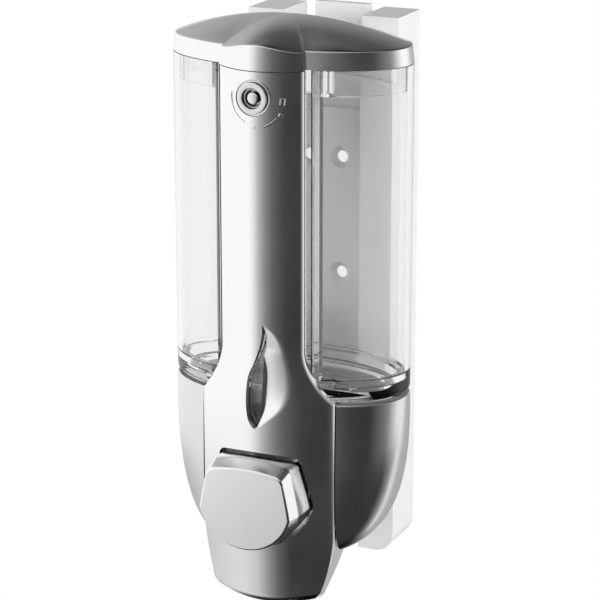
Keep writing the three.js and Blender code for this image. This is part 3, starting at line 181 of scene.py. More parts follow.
def turned(name, profile, axis, at, sides=TURN_SIDES, sharp=SHARP):
    """A closed profile of (radius, place along the axis) turned round the axis through at."""
    points, faces = [], []
    for radius, along in profile:
        for a in around(sides):
            c, s = radius * cos(a), radius * sin(a)
            points.append((at[0] + c, along, at[2] + s) if axis == "y" else (at[0] + c, at[1] + s, along))
    for r in range(len(profile)):
        for i in range(sides):
            j, n = (i + 1) % sides, (r + 1) % len(profile)
            faces.append((r * sides + i, r * sides + j, n * sides + j, n * sides + i))
    piece = new_piece(name, points, faces, sharp)
    work = bmesh.new()
    work.from_mesh(piece.data)
    bmesh.ops.remove_doubles(work, verts=work.verts, dist=TINY)
    bmesh.ops.dissolve_degenerate(work, dist=TINY / 10, edges=work.edges)
    work.to_mesh(piece.data)
    work.free()
    settle(piece.data, sharp)
    return piece


def rod(name, radius, start, end, axis, at, sides=TURN_SIDES):
    """A plain round solid from start to end along the axis through at."""
    return turned(name, [(0, start), (radius, start), (radius, end), (0, end)], axis, at, sides)


def shape_with(piece, tool, operation, sharp):
    """Cuts the tool out of the piece, or joins or intersects it, and uses the tool up."""
    for solver in ("MANIFOLD", "EXACT"):
        change = piece.modifiers.new("shape", "BOOLEAN")
        change.operation = operation
        change.solver = solver
        change.object = tool
        bpy.context.view_layer.update()
        seen = piece.evaluated_get(bpy.context.evaluated_depsgraph_get())
        result = bpy.data.meshes.new_from_object(seen)
        piece.modifiers.remove(change)
        if len(result.polygons) >= FEWEST_FACES:
            break
    piece.data = result
    bpy.data.objects.remove(tool)
    settle(result, sharp)
    return piece


def cut(piece, tool, sharp=SHARP):
    """Cuts the tool out of the piece."""
    return shape_with(piece, tool, "DIFFERENCE", sharp)


def join(piece, tool, sharp=SHARP):
    """Joins the tool to the piece."""
    return shape_with(piece, tool, "UNION", sharp)


def blunt(piece, width, steps=2, angle=40):
    """Small rounded edges that catch the light."""
    bevel = piece.modifiers.new("edges", "BEVEL")
    bevel.width = width * MM
    bevel.segments = steps
    bevel.limit_method = "ANGLE"
    bevel.angle_limit = radians(angle)
    bevel.harden_normals = True


def curve_through(points, parts=6):
    """A smooth line through the given points."""
    ends = [points[0]] + list(points) + [points[-1]]
    line = []
    for i in range(1, len(ends) - 2):
        p = ends[i - 1:i + 3]
        for k in range(parts):
            t = k / parts
            line.append(tuple(
                0.5 * (2 * p[1][n] + (p[2][n] - p[0][n]) * t
                       + (2 * p[0][n] - 5 * p[1][n] + 4 * p[2][n] - p[3][n]) * t ** 2
                       + (3 * p[1][n] - p[0][n] - 3 * p[2][n] + p[3][n]) * t ** 3)
                for n in range(len(points[0]))))
    return line + [points[-1]]


def along_line(line, height):
    """The x of a line of (x, z) points at a height, read from the top down."""
    for (x0, z0), (x1, z1) in zip(line, line[1:]):
        if z0 >= height >= z1:
            return x0 + (x1 - x0) * (z0 - height) / max(TINY, z0 - z1)
    return line[0][0] if height > line[0][1] else line[-1][0]


def dress(piece, node, body, material):
    """Gives a piece its finish and its body, and hides the CAD node it stands for."""
    piece.data.materials.clear()
    piece.data.materials.append(material)
    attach(piece, body)
    if node:
        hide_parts(node)


FACING_FRONT = -0.4


def unplate_and_paint_shade(piece, material, inside):
    """Gives the second finish to the faces whose middle is inside, but never to those that look forward: grey
    bare plastic under the tank, and near-black plastic that is painted shade in the gaps and recesses of the
    panel and the lock.
    """
    piece.data.materials.append(material)
    for face in piece.data.polygons:
        if face.normal.y > FACING_FRONT and inside(*(value / MM for value in face.center)):
            face.material_index = 1


def oval(inset, z):
    """The tank's oval plan at a height, drawn in by inset."""
    return [((HALF_WIDTH - inset) * cos(a), CENTRE_Y + (HALF_DEPTH - inset) * sin(a), z)
            for a in around(OVAL_SIDES)]


# ---- front panel: a bowed sheet with rounded edges that curls under the chin ----

PANEL_SHARP = 50
TOP_HALF = 15.5
LOW_HALF = 25.2
TOP_BOW = 6.5
LOW_BOW = 11
FLARE = 19
FLARE_POWER = 1.8
EDGE = 0.8
CHIN_START = -49
CHIN_LENGTH = CHIN_START + CHIN_DROP
CHIN_NARROWING = 5.7
CHIN_POWER = 1.6
CHIN_DRAW = 1.6
CHIN_CURL = 5
CHIN_LIFT = 2.6
LIP_REACH = 10.4
CHIN_SIDE_DEPTH = 16
CHIN_SIDE_CUT = 11
CHIN_SIDE_END = 0.6 * CHIN_CURL - CHIN_DROP
FINE_HALF = 13.2
FINE_TOP = 32
FINE_BOTTOM = -12
FINE_STEPS = 88
FLAME_LEFT = [(2.9, 29.3), (2.8, 25.7), (1.9, 21.2), (-0.2, 15.5), (-2.4, 10.6), (-3.3, 5), (-3.4, -0.4),
              (-2.9, -4.7), (-1.7, -7.4), (-0.2, -8.6)]
FLAME_RIGHT = [(2.9, 29.3), (3.7, 26), (3.6, 23.5), (3.1, 20.5), (2.7, 18.2), (3, 16.2), (3.6, 13.5),
               (3.8, 9.1), (3.5, 3.5), (2.8, -2.1), (1.6, -6), (0.7, -7.9), (-0.2, -8.6)]
HOLLOW_BORDER = [(2.7, 29.3), (6.9, 25.9), (9.9, 20.9), (11.8, 13.9), (12.5, 6.8), (11.4, 2.3), (8.7, -1.7),
                 (4.1, -5.3), (-0.2, -8.6)]
HOLLOW_TOP, HOLLOW_BOTTOM = 29.3, -8.6
HOLLOW_DEPTH = 2.1
HOLLOW_FULL_WIDTH = 7
HOLLOW_SOFT_EDGE = 0.6
HOLLOW_LEFT_EDGE = 0.3
HOLLOW_LEAST_WIDTH = 0.05
FLAME_WALL = 1
FLAME_WALL_FRONT, FLAME_WALL_BACK = -77.2, -72.6
# A screw boss as (radius, distance along Y)
SCREW_BOSS = [(0, -67.6), (3, -67.6), (3, -58.6), (1.5, -58.6), (1.5, -66), (0, -66)]
OPENING_GAP = 0.9
OPENING_ROOM = 0.3
LOCK = (0, 0, 108)
LOCK_HOLE = 5


def panel_half_width(z):
    """Half the panel's width at a height."""
    if z >= FLARE:
        return TOP_HALF
    if z >= 0:
        return TOP_HALF + (LOW_HALF - TOP_HALF) * ((FLARE - z) / FLARE) ** FLARE_POWER
    if z >= CHIN_START:
        return LOW_HALF
    return LOW_HALF - CHIN_NARROWING * ((CHIN_START - z) / CHIN_LENGTH) ** CHIN_POWER


def panel_drop(x, z):
    """How far the bowed panel lies behind its crown at a place."""
    high = TOP_BOW * (x / TOP_HALF) ** 2
    low = LOW_BOW * (x / LOW_HALF) ** 2
    return high + (low - high) * ease(1 - z / FLARE)


def hollow_share(share):
    """The hollow's profile from the window, where it is 1, to its soft border, where it is 0."""
    turn, fall, fall_power, end = 0.7, 1.232, 1.25, 2.347
    return 1 - fall * share ** fall_power if share < turn else end * (1 - share) ** 2


def hollow(x, z, border, flame):
    """How deep the hollow beside the flame window is: flat near the window, steeper towards its border."""
    if not HOLLOW_BOTTOM < z < HOLLOW_TOP:
        return 0
    outer, inner = along_line(border, z), along_line(flame, z)
    if x >= outer + HOLLOW_SOFT_EDGE or outer - inner < HOLLOW_LEAST_WIDTH:
        return 0
    depth = HOLLOW_DEPTH * min(1, (outer - inner) / HOLLOW_FULL_WIDTH)
    if x >= inner:
        return depth * hollow_share((x - inner) / (outer + HOLLOW_SOFT_EDGE - inner))
    left = along_line(FLAME_LEFT, z) + HOLLOW_LEFT_EDGE
    return depth * ease((x - left) / max(HOLLOW_LEFT_EDGE, inner - left))


def panel_path():
    """Stations down the crown: distance from the wall, height, and the way in along Y and Z."""
    heights = span(TANK_TOP - CLEARANCE, FINE_TOP, 34)
    heights += span(FINE_TOP, FINE_BOTTOM, FINE_STEPS)[1:] + span(FINE_BOTTOM, CHIN_START, 24)[1:]
    stations = [(FRONT, z, 1, 0) for z in heights]
    curl_top = -CHIN_DROP + CHIN_CURL
    for z in span(CHIN_START, curl_top, 14)[1:]:
        draw = CHIN_DRAW * ease((CHIN_START - z) / (CHIN_START - curl_top))
        stations.append((FRONT - draw, z, 1, 0))
    centre = FRONT - CHIN_DRAW - CHIN_CURL
    for angle in span(0, QUARTER, 12)[1:]:
        out, down = cos(angle), sin(angle)
        stations.append((centre + CHIN_CURL * out, curl_top - CHIN_CURL * down, out, down))
    return stations + [(distance, -CHIN_DROP, 0, 1) for distance in span(centre, FRONT - LIP_REACH, 3)[1:]]


def panel_columns(half):
    """Places across the panel: fine and even in the middle, reaching each rounded edge."""
    side = span(FINE_HALF, half - EDGE, 10)[1:]
    return [-x for x in reversed(side)] + span(-FINE_HALF, FINE_HALF, FINE_STEPS) + side


def panel_back_and_painted_shade(x, y, z):
    """True for the panel's back and the walls of its openings, but not for the wall round the window: these
    take near-black plastic, bare on the back and painted shade in the openings.
    """
    least, least_at_chin, edge = 0.5, 2.25, 1.2
    window_half, window_bottom, window_top, window_depth = 6, -10, 31, 5.4
    depth = y + FRONT - panel_drop(x, z)
    if depth < window_depth and abs(x) < window_half and window_bottom < z < window_top:
        return False
    return depth > (least if z > CHIN_START + 1 else least_at_chin) and abs(x) < panel_half_width(z) - edge


def panel_ring(station, border, flame):
    """The panel's section at a station: over the front, round both edges and back behind."""
    distance, z, in_y, in_z = station
    half = panel_half_width(z)
    columns = panel_columns(half)
    corner = span(0, QUARTER, 5)[1:]

    def spot(x, depth):
        """A point of the panel at a place across and a depth behind its face."""
        lift = CHIN_LIFT * in_z * (x / half) ** 2
        inward = in_y * (depth + hollow(x, z, border, flame))
        return (x, -distance + panel_drop(x, z) * (1 - in_z ** 6 / 2) + inward, z + lift + in_z * depth)

    right = [spot(half - EDGE + EDGE * sin(a), EDGE * (1 - cos(a))) for a in corner]
    left = [spot(EDGE - half - EDGE * sin(a), EDGE * (1 - cos(a))) for a in reversed(corner)]
    ring = [spot(x, 0) for x in columns] + right + [spot(half, PANEL_WALL)]
    return ring + [spot(x, PANEL_WALL) for x in reversed(columns)] + [spot(-half, PANEL_WALL)] + left


def flame_outline(grow):
    """The window's outline as (x, z), grown outwards by grow."""
    left, right = curve_through(FLAME_LEFT), curve_through(FLAME_RIGHT)
    outline = right[:-1] + left[:0:-1]
    grown, count = [], len(outline)
    for i, (x, z) in enumerate(outline):
        (x0, z0), (x1, z1) = outline[i - 1], outline[(i + 1) % count]
        length = max(TINY, hypot(x1 - x0, z1 - z0))
        grown.append((x + grow * (z1 - z0) / length, z - grow * (x1 - x0) / length))
    return grown


def chin_side(side):
    """The chin's side wall, cut back on a slope under the housing."""
    sunk, start_depth, start_slope = 0.02, 1.2, 1.6
    rings = []
    for z in span(CHIN_START, CHIN_SIDE_END, 12):
        half = panel_half_width(z) - sunk
        edge = -FRONT + panel_drop(half, z)
        share = (CHIN_START - z) / CHIN_LENGTH
        back = edge + CHIN_SIDE_DEPTH - CHIN_SIDE_CUT * share
        start = edge + start_depth + start_slope * share ** 2
        outer, inner = side * half, side * (half - PANEL_WALL)
        rings.append([(outer, start, z), (outer, back, z), (inner, back, z), (inner, start, z)])
    return skin("chin_side", rings)


def make_front_panel(material, bare_and_shade_finish):
    """The panel with its chin walls, screw bosses and openings."""
    border, flame = curve_through(HOLLOW_BORDER), curve_through(FLAME_RIGHT)
    panel = skin("front_cover", [panel_ring(station, border, flame) for station in panel_path()], PANEL_SHARP)
    for side in (-1, 1):
        join(panel, chin_side(side), PANEL_SHARP)
        for z in SCREW_HEIGHTS:
            boss = turned("boss", SCREW_BOSS, "y", (side * SCREW_X, 0, z), SCREW_SIDES)
            join(panel, boss, PANEL_SHARP)
    opening = [(x, z + BUTTON_Z) for x, z in button_outline(-OPENING_GAP, OPENING_ROOM)]
    cut(panel, prism("opening", opening, FAR_FRONT, BEHIND_CHIN), PANEL_SHARP)
    wall = prism("flame_wall", flame_outline(FLAME_WALL), FLAME_WALL_FRONT, FLAME_WALL_BACK)
    join(panel, wall, PANEL_SHARP)
    cut(panel, prism("flame", flame_outline(0), FAR_FRONT, BEHIND_PANEL), PANEL_SHARP)
    cut(panel, rod("lock_hole", LOCK_HOLE, FAR_FRONT, BEHIND_PANEL, "y", LOCK), PANEL_SHARP)
    dress(panel, "front_panel", "housing", material)
    # Near-black on the panel's bare back, and painted shade on the walls of its openings
    unplate_and_paint_shade(panel, bare_and_shade_finish, panel_back_and_painted_shade)


# ---- push button: a faceted cap that stands out of the panel ----

BUTTON_SHARP = 16
CAP_SHARP = 14
BUTTON_Z = -37
BUTTON_HALF = 18.5
BUTTON_TOP_HALF = 15.4
BUTTON_RISE = 16.9
BUTTON_FALL = 14.5
BUTTON_CORNER = 2.6
BUTTON_TOP_BOW = 1.8
BUTTON_FACE = 88
BUTTON_BACK = 71.4
BUTTON_WALL = 2
BUTTON_INSIDE = 66
SOCKET = (0, 0, -35)
SOCKET_RADIUS, SOCKET_BORE = 4.4, 2.75
SOCKET_FRONT, SOCKET_BACK = -87, -82.6
ARM_BOTTOM, ARM_TOP, ARM_BACK = -38.9, -32.1, -66.4
# The arm and its ear as (name, nearest and farthest x, front)
ARM_PARTS = (("arm", 16.5, 18, -72.4), ("ear", 15.2, 20.6, -68.4))
# Levels as (distance behind the face, drawn in by, share of the slope): a crease, then a bevel round the face
CAP_LEVELS = ((6.15, 0.26, 0.5), (5.85, 0.42, 0.53), (0.55, 1.3, 0.97), (0.45, 1.36, 0.98), (0.08, 1.85, 1),
              (0, 2.1, 1))
CAP_INNER_LEVELS = ((6, 0.34, 0.5), (0, 1.5, 1))


def button_outline(inset, room=0):
    """The button's outline as (x, z) about its middle: round below and gently bowed above."""
    half, top_half = BUTTON_HALF - inset, BUTTON_TOP_HALF - inset / 2
    rise, fall, corner = BUTTON_RISE - inset + room, BUTTON_FALL - inset, BUTTON_CORNER
    side_foot, side_power = 0.3, 1.15
    arc = (fall * fall + half * half) / (2 * fall)
    sweep = asin(min(1, half / arc))
    right = [(top_half - corner + corner * sin(a), rise - corner + corner * cos(a))
             for a in span(0, QUARTER, 8)]
    right += [(half + (top_half - half) * t ** side_power, side_foot + (rise - corner) * t)
              for t in span(1, 0, 10)[1:]]
    below = [(arc * sin(a), -fall + arc - arc * cos(a)) for a in span(sweep, -sweep, 48)]
    above = [(x, rise) for x in span(corner - top_half, top_half - corner, 24)[1:-1]]
    outline = right + below + [(-x, z) for x, z in reversed(right)] + above
    return [(x, z + BUTTON_TOP_BOW * (1 - (x / top_half) ** 2) * ease(z / rise)) for x, z in outline]


def button_skin(inset, face, back, levels):
    """The cap's skin from its back to its face, through the given levels."""
    back_slope, top_lift, top_fall = 0.667, 1.2, 1.8
    stations = [(back, 0, back_slope)] + [(face - behind, draw, slope) for behind, draw, slope in levels]
    rings = []
    for distance, draw, slope in stations:
        lift = top_lift - top_fall * slope
        rings.append([(x, -distance, BUTTON_Z + z + lift * ease(z / BUTTON_RISE))
                      for x, z in button_outline(inset + draw)])
    return skin("push_cap", rings, BUTTON_SHARP)


def make_push_button(material):
    """The hollow cap with its rod socket and its two hooked arms."""
    cap = button_skin(0, BUTTON_FACE, BUTTON_BACK, CAP_LEVELS)
    inside = button_skin(BUTTON_WALL, BUTTON_FACE - BUTTON_WALL, BUTTON_INSIDE, CAP_INNER_LEVELS)
    cut(cap, inside, CAP_SHARP)
    socket = rod("socket", SOCKET_RADIUS, SOCKET_FRONT, SOCKET_BACK, "y", SOCKET)
    join(cap, socket, CAP_SHARP)
    cut(cap, rod("socket_bore", SOCKET_BORE, SOCKET_FRONT + 1, -80, "y", SOCKET), CAP_SHARP)
    for side in (-1, 1):
        for name, near, far, front in ARM_PARTS:
            left, right = sorted((side * near, side * far))
            arm = block(name, (left, front, ARM_BOTTOM), (right, ARM_BACK, ARM_TOP))
            join(cap, arm, CAP_SHARP)
    dress(cap, "push_button", "button", material)


# ---- lid: skirt, rounded edge, low dome and a tongue that rises to the front middle ----

LID_SHARP = 38
LID_SKIRT = 6.6
LID_ROUND = 0.7
LID_ROUND_END = 0.95
LID_WALL = 1.8
DOME_HEIGHT = 8.2
DOME_POWER = 2.1
TONGUE_REACH = 33
TONGUE_HALF = 16.6
TONGUE_POWER = 2.6
TONGUE_ROUND = 0.385
TONGUE_HEIGHT = 2.4
HINGE_Y, HINGE_Z = -27.6, 120
KNUCKLE_HALF = 7.6
KNUCKLE_RADIUS = 2
PIN_BORE = 1.15
PIN_HALF = 12
UNDER_DOME = 124.6
CATCH_TOP = 105.1
CATCH_DEPTH = 2.2
CATCH_FRONT, CATCH_BACK = -67.45, -65.45
CATCH_LEG_X, CATCH_FOOT_X, CATCH_RIGHT = 9.8, 5.2, 11.8
NOTCH = (-12.6, -29.9, 112), (12.6, -17, 122.5)


def lid_plan(inset):
    """The lid's plan: the tank's oval with the panel's bowed front."""
    half = TOP_HALF - inset
    a, b = HALF_WIDTH - inset, HALF_DEPTH - inset
    meet = acos(half / a)
    sides = [(a * cos(t), CENTRE_Y + b * sin(t)) for t in span(-meet, pi + meet, 150)]
    front = [(x, -FRONT + inset + TOP_BOW * (x / TOP_HALF) ** 2) for x in span(-half, half, 50)]
    return sides + front


def tongue(x, y):
    """The raised tongue: widest near the front edge, with a soft point behind the lid's middle."""
    reach = (y + FRONT) / TONGUE_REACH
    if reach >= 1:
        return 0
    half = TONGUE_HALF * (1 - max(0, reach) ** TONGUE_POWER) ** TONGUE_ROUND
    if abs(x) >= half:
        return 0
    return TONGUE_HEIGHT * cos(pi * x / (2 * half)) ** 2 * (1 - ease(reach))


def lid_dome(share, y):
    """The dome's height: it falls away faster behind its middle."""
    return DOME_HEIGHT * (1 - share ** DOME_POWER) * (1 - 0.5 * max(0, y - CENTRE_Y) / HALF_DEPTH)


def lid_skin(inset, bottom):
    """The lid's skin: a skirt, a small rounded edge and the dome with its tongue."""
    top = TANK_TOP + LID_SKIRT - inset
    plan = lid_plan(inset + LID_ROUND)
    rings = [[(x, y, bottom) for x, y in lid_plan(inset)]]

    def drawn(share):
        """The plan drawn in towards its middle."""
        return [(x * share, CENTRE_Y + (y - CENTRE_Y) * share) for x, y in plan]

    for angle in span(0, LID_ROUND_END, 6):
        start = 1 - LID_ROUND * (1 - cos(angle)) / HALF_DEPTH
        edge_top = top - LID_ROUND * (1 - sin(angle))
        rings.append([(x, y, edge_top + tongue(*place)) for (x, y), place in zip(drawn(start), plan)])
    for share in span(start, NEAR_MIDDLE, 34)[1:]:
        rings.append([(x, y, edge_top + lid_dome(share, y) - lid_dome(start, y) + tongue(x, y))
                      for x, y in drawn(share)])
    return skin("top_lid", rings, LID_SHARP)


def make_lid(material):
    """The hollow lid with its hinge knuckle and the catch for the lock's cam."""
    lid = lid_skin(0, TANK_TOP + CLEARANCE)
    cut(lid, lid_skin(LID_WALL, TANK_TOP - 5), LID_SHARP)
    cut(lid, block("notch", *NOTCH), LID_SHARP)
    join(lid, along_x("knuckle", KNUCKLE_RADIUS, KNUCKLE_HALF, HINGE_Y, HINGE_Z), LID_SHARP)
    root = block("knuckle_root", (-KNUCKLE_HALF, HINGE_Y - KNUCKLE_RADIUS, HINGE_Z),
                 (KNUCKLE_HALF, HINGE_Y + KNUCKLE_RADIUS, UNDER_DOME))
    join(lid, root, LID_SHARP)
    cut(lid, along_x("pin_bore", PIN_BORE, PIN_HALF, HINGE_Y, HINGE_Z), LID_SHARP)
    for name, left, top in (("catch_leg", CATCH_LEG_X, UNDER_DOME), ("catch_foot", CATCH_FOOT_X, CATCH_TOP)):
        catch = block(name, (left, CATCH_FRONT, CATCH_TOP - CATCH_DEPTH), (CATCH_RIGHT, CATCH_BACK, top))
        join(lid, catch, LID_SHARP)
    dress(lid, "lid", "lid", material)


# ---- tank: a clear oval cup, stepped back behind the panel, with a stepped floor and a neck ----

TANK_SHARP = 30
TANK_ROUND = 3
RECESS_HALF = 17
RECESS_Y = -63.5
RECESS_ROUND = 2.4
NECK = (0, -55, 0)
NECK_RADIUS, NECK_BORE = 8, 5.5
NECK_TOP, NECK_BOTTOM = 3, -12
HINGE_CUT = (-26, -33, 114.2), (26, -10, 125)
# The hollow's levels as (drawn in by, height), from its sump up past the mouth
TANK_HOLLOW = ((9.5, 2.6), (9.5, 3.9), (8.9, 4.6), (5.9, 4.6), (5.5, 5), (5.5, 7.3), (4.8, 8), (2.6, 8),
               (2, 8.8), (2, 125))


def tank_plan(inset, z):
    """The tank's plan: the oval with a square recess in its front, whose corners are rounded."""
    a, b = HALF_WIDTH - inset, HALF_DEPTH - inset
    side, step_y = RECESS_HALF + inset, RECESS_Y + inset
    meet = acos(min(1, side / a))
    plan = [(a * cos(t), CENTRE_Y + b * sin(t)) for t in span(-meet, pi + meet, 130)]
    left_inner = [(-side + RECESS_ROUND * (1 - cos(t)), step_y - RECESS_ROUND * (1 - sin(t)))
                  for t in span(0, QUARTER, 6)]
    front = left_inner + [(-x, y) for x, y in reversed(left_inner)]
    return [(x, y, z) for x, y in plan + front]


def make_tank(material):
    """The tank with its rounded foot, hollow, neck and the cut for the lid's hinge."""
    rings = [tank_plan(TANK_ROUND * (1 - sin(a)), CLEARANCE + TANK_ROUND * (1 - cos(a)))
             for a in span(0, QUARTER, 8)]
    tank = skin("clear_tank", rings + [tank_plan(0, TANK_TOP - CLEARANCE)], TANK_SHARP)
    inside = skin("tank_hollow", [tank_plan(inset, z) for inset, z in TANK_HOLLOW])
    cut(tank, inside, TANK_SHARP)
    join(tank, rod("neck", NECK_RADIUS, NECK_TOP, NECK_BOTTOM, "z", NECK), TANK_SHARP)
    cut(tank, rod("neck_bore", NECK_BORE, NECK_TOP + 5, NECK_BOTTOM - 8, "z", NECK), TANK_SHARP)
    cut(tank, block("hinge_cut", *HINGE_CUT), TANK_SHARP)
    dress(tank, "reservoir", "housing", material)


# ---- lower housing ----

HOUSING_SHARP = 40
HOUSING_WALL = 2.2
HOUSING_NARROWING = 24
HOUSING_DRAW = 20
WIDTH_POWER = 2.5
DRAW_POWER = 3.5
RIM_INSET = 1.6
UNPLATED_FLOOR = -4
LIP_SHARE = 0.999
LIP_Z = -0.6
LIP_INSET = 0.45
SHELF_INSET, SHELF_HOLE = 1.1, 6
SHELF_BOTTOM, SHELF_TOP = -3.4, -1.6
OPEN_FRONT = (-25.5, -80, -62), (25.5, -47.4, 5)
RIB_NEAR, RIB_FAR = 18, 37.4
RIB_FRONT, RIB_BACK = -58.3, -56.3
RIB_HALF_HEIGHT = 4
PILOT = 1.5
PILOT_FRONT, PILOT_BACK = -64, -50
HOOK_X = 8
HOOK_HALF = 2.5
HOOK_FRONT, HOOK_BACK, HOOK_TOP, HOOK_BOTTOM = -24.2, -9.7, -14, -22
FINGER_BACK, FINGER_BOTTOM = -6.7, -30
HOOK_EDGE = 0.4


def housing_draw(share, power):
    """How much of the narrowing is reached at a share of the drop."""
    return 1 - (1 - share ** power) ** (1 / power)


def housing_level(inset, share, z):
    """The housing's plan at a share of its drop: an oval that grows squarer and moves forward."""
    half = HALF_WIDTH - HOUSING_NARROWING * housing_draw(share, WIDTH_POWER) - inset
    draw = HOUSING_DRAW * housing_draw(share, DRAW_POWER)
    depth = HALF_DEPTH - draw / 2 - inset
    power = 2 / (2 + 0.5 * share)
    ring = []
    for a in around(OVAL_SIDES):
        c, s = cos(a), sin(a)
        x = half * copysign(abs(c) ** power, c)
        ring.append((x, CENTRE_Y - draw / 2 + depth * copysign(abs(s) ** power, s), z))
    return ring


def housing_skin(inset):
    """The housing's outer skin, or its hollow when it is drawn in."""
    shares = [sin(a) for a in span(QUARTER, NEAR_MIDDLE, 44)]
    rings = [housing_level(inset, share, -share * (SHELL_DROP - inset)) for share in shares]
    if inset:
        rings += [oval(inset, 5)]
    else:
        rings += [[(x * LIP_SHARE, y, z) for x, y, z in oval(0, LIP_Z)], oval(LIP_INSET, -CLEARANCE)]
    return skin("lower_housing", rings, HOUSING_SHARP)


def under_tank(x, y, z):
    """True for the shelf under the tank and the inside of the rim round it."""
    across, along = x / (HALF_WIDTH - RIM_INSET), (y - CENTRE_Y) / (HALF_DEPTH - RIM_INSET)
    return z > UNPLATED_FLOOR and across ** 2 + along ** 2 < 1


def make_housing(material, bare_and_shade_finish):
    """The housing with its shelf, open front, screw ribs and two hooks."""
    housing = cut(housing_skin(0), housing_skin(HOUSING_WALL), HOUSING_SHARP)
    shelf = skin("shelf", [oval(SHELF_INSET, SHELF_BOTTOM), oval(SHELF_INSET, SHELF_TOP)])
    cut(shelf, skin("shelf_hole", [oval(SHELF_HOLE, -9), oval(SHELF_HOLE, 3)]))
    join(housing, shelf, HOUSING_SHARP)
    cut(housing, block("open_front", *OPEN_FRONT), HOUSING_SHARP)
    for z in SCREW_HEIGHTS:
        for side in (-1, 1):
            near, far = sorted((side * RIB_NEAR, side * RIB_FAR))
            rib = block("rib", (near, RIB_FRONT, z - RIB_HALF_HEIGHT), (far, RIB_BACK, z + RIB_HALF_HEIGHT))
            shape_with(rib, housing_skin(HOUSING_WALL / 2), "INTERSECT", HOUSING_SHARP)
            join(housing, rib, HOUSING_SHARP)
            pilot = rod("pilot", PILOT, PILOT_FRONT, PILOT_BACK, "y", (side * SCREW_X, 0, z), SCREW_SIDES)
            cut(housing, pilot, HOUSING_SHARP)
    dress(housing, "back_shell", "housing", material)
    unplate_and_paint_shade(housing, bare_and_shade_finish, under_tank)
    for name, x in (("left_hook", -HOOK_X), ("right_hook", HOOK_X)):
        left, right = x - HOOK_HALF, x + HOOK_HALF
        hook = block(name, (left, HOOK_FRONT, HOOK_BOTTOM), (right, HOOK_BACK, HOOK_TOP))
        finger = block("finger", (left, HOOK_BACK, FINGER_BOTTOM), (right, FINGER_BACK, HOOK_TOP))
        join(hook, finger)
        blunt(hook, HOOK_EDGE)
        dress(hook, None, "housing", material)


# ---- wall bracket: a plate, two hollow rails, a crossbar, a ledge and a springy tab ----

BRACKET_TOP, BRACKET_BOTTOM = 127.5, -72
BRACKET_HALF = 28.7
BRACKET_CORNER = 7
BRACKET_EDGE = 0.7
CREASE = 50
PLATE = 3
RAIL_START = 15
RAIL_DEPTH = 20.5
RAIL_WALL = 2.5
RAIL_HOLLOW_BOTTOM = -65
SLOT_FRONT, SLOT_BOTTOM, SLOT_TOP = -8, 95, 133
TAB_HALF = 10.5
BAR_HALF = 16.25
# Plain bars as (name, half width, front, back, bottom, top)
BRACKET_BARS = (("tab", TAB_HALF, -PLATE, 0, 94, 128.4), ("crossbar", BAR_HALF, -13, -10, -32.3, -22.3),
                ("ledge", BAR_HALF, -5, -1.5, 78.5, 91))
WALL_SCREWS = ((-12, 72.5), (0, 72.5), (12, 72.5), (0, 29.8))
# A countersunk hole as (radius, distance along Y)
SCREW_HOLE = [(0, -8), (4, -8), (4, -3), (2.2, -1), (2.2, 5), (0, 5)]


def bracket_plan(left, right):
    """A plate's outline as (x, z), rounded at each lower corner that is the bracket's own."""
    plan = [(right, BRACKET_TOP), (left, BRACKET_TOP)]
    bend = [(BRACKET_CORNER * (1 - cos(a)), BRACKET_CORNER * (1 - sin(a)))
            for a in span(0, QUARTER, 10)]
    plan += [(left + x, BRACKET_BOTTOM + z) for x, z in (bend if left < 0 else [(0, 0)])]
    plan += [(right - x, BRACKET_BOTTOM + z) for x, z in (reversed(bend) if right > 0 else [(0, 0)])]
    return plan


def make_bracket(material):
    """The bracket in one piece, with its four screw holes."""
    bracket = prism("wall_holder", bracket_plan(-BRACKET_HALF, BRACKET_HALF), -PLATE, 0)
    for side in (-1, 1):
        near, far = sorted((side * RAIL_START, side * BRACKET_HALF))
        join(bracket, prism("rail", bracket_plan(near, far), -RAIL_DEPTH, 0))
        cut(bracket, block("rail_hollow", (near + RAIL_WALL, RAIL_WALL - RAIL_DEPTH, RAIL_HOLLOW_BOTTOM),
                                  (far - RAIL_WALL, BEHIND_WALL, BRACKET_TOP - RAIL_WALL)))
    for side in (-1, 1):
        near, far = sorted((side * TAB_HALF, side * RAIL_START))
        cut(bracket, block("slot", (near, SLOT_FRONT, SLOT_BOTTOM), (far, BEHIND_WALL, SLOT_TOP)))
    for name, half, front, back, bottom, top in BRACKET_BARS:
        join(bracket, block(name, (-half, front, bottom), (half, back, top)))
    for x, z in WALL_SCREWS:
        cut(bracket, turned("hole", SCREW_HOLE, "y", (x, 0, z), 48))
    blunt(bracket, BRACKET_EDGE, 3, CREASE)
    dress(bracket, "wall_bracket", "housing", material)


# ---- level window, deep in its hollow ----

WINDOW_GAP = 0.25
WINDOW_FRONT, WINDOW_BACK = -74.2, -72
WINDOW_RIM = 1.1
RIM_FRONT, RIM_BACK = -72.4, -71.2
WINDOW_EDGE = 0.25


def make_window(material):
    """The window's lens with a wider rim behind the panel."""
    window = prism("level_window", flame_outline(-WINDOW_GAP), WINDOW_FRONT, WINDOW_BACK)
    join(window, prism("window_rim", flame_outline(WINDOW_RIM), RIM_FRONT, RIM_BACK))
    blunt(window, WINDOW_EDGE, 2, CREASE)
    dress(window, "sight_window", "housing", material)


# ---- lock face: closed profiles of (radius, distance along Y) ----

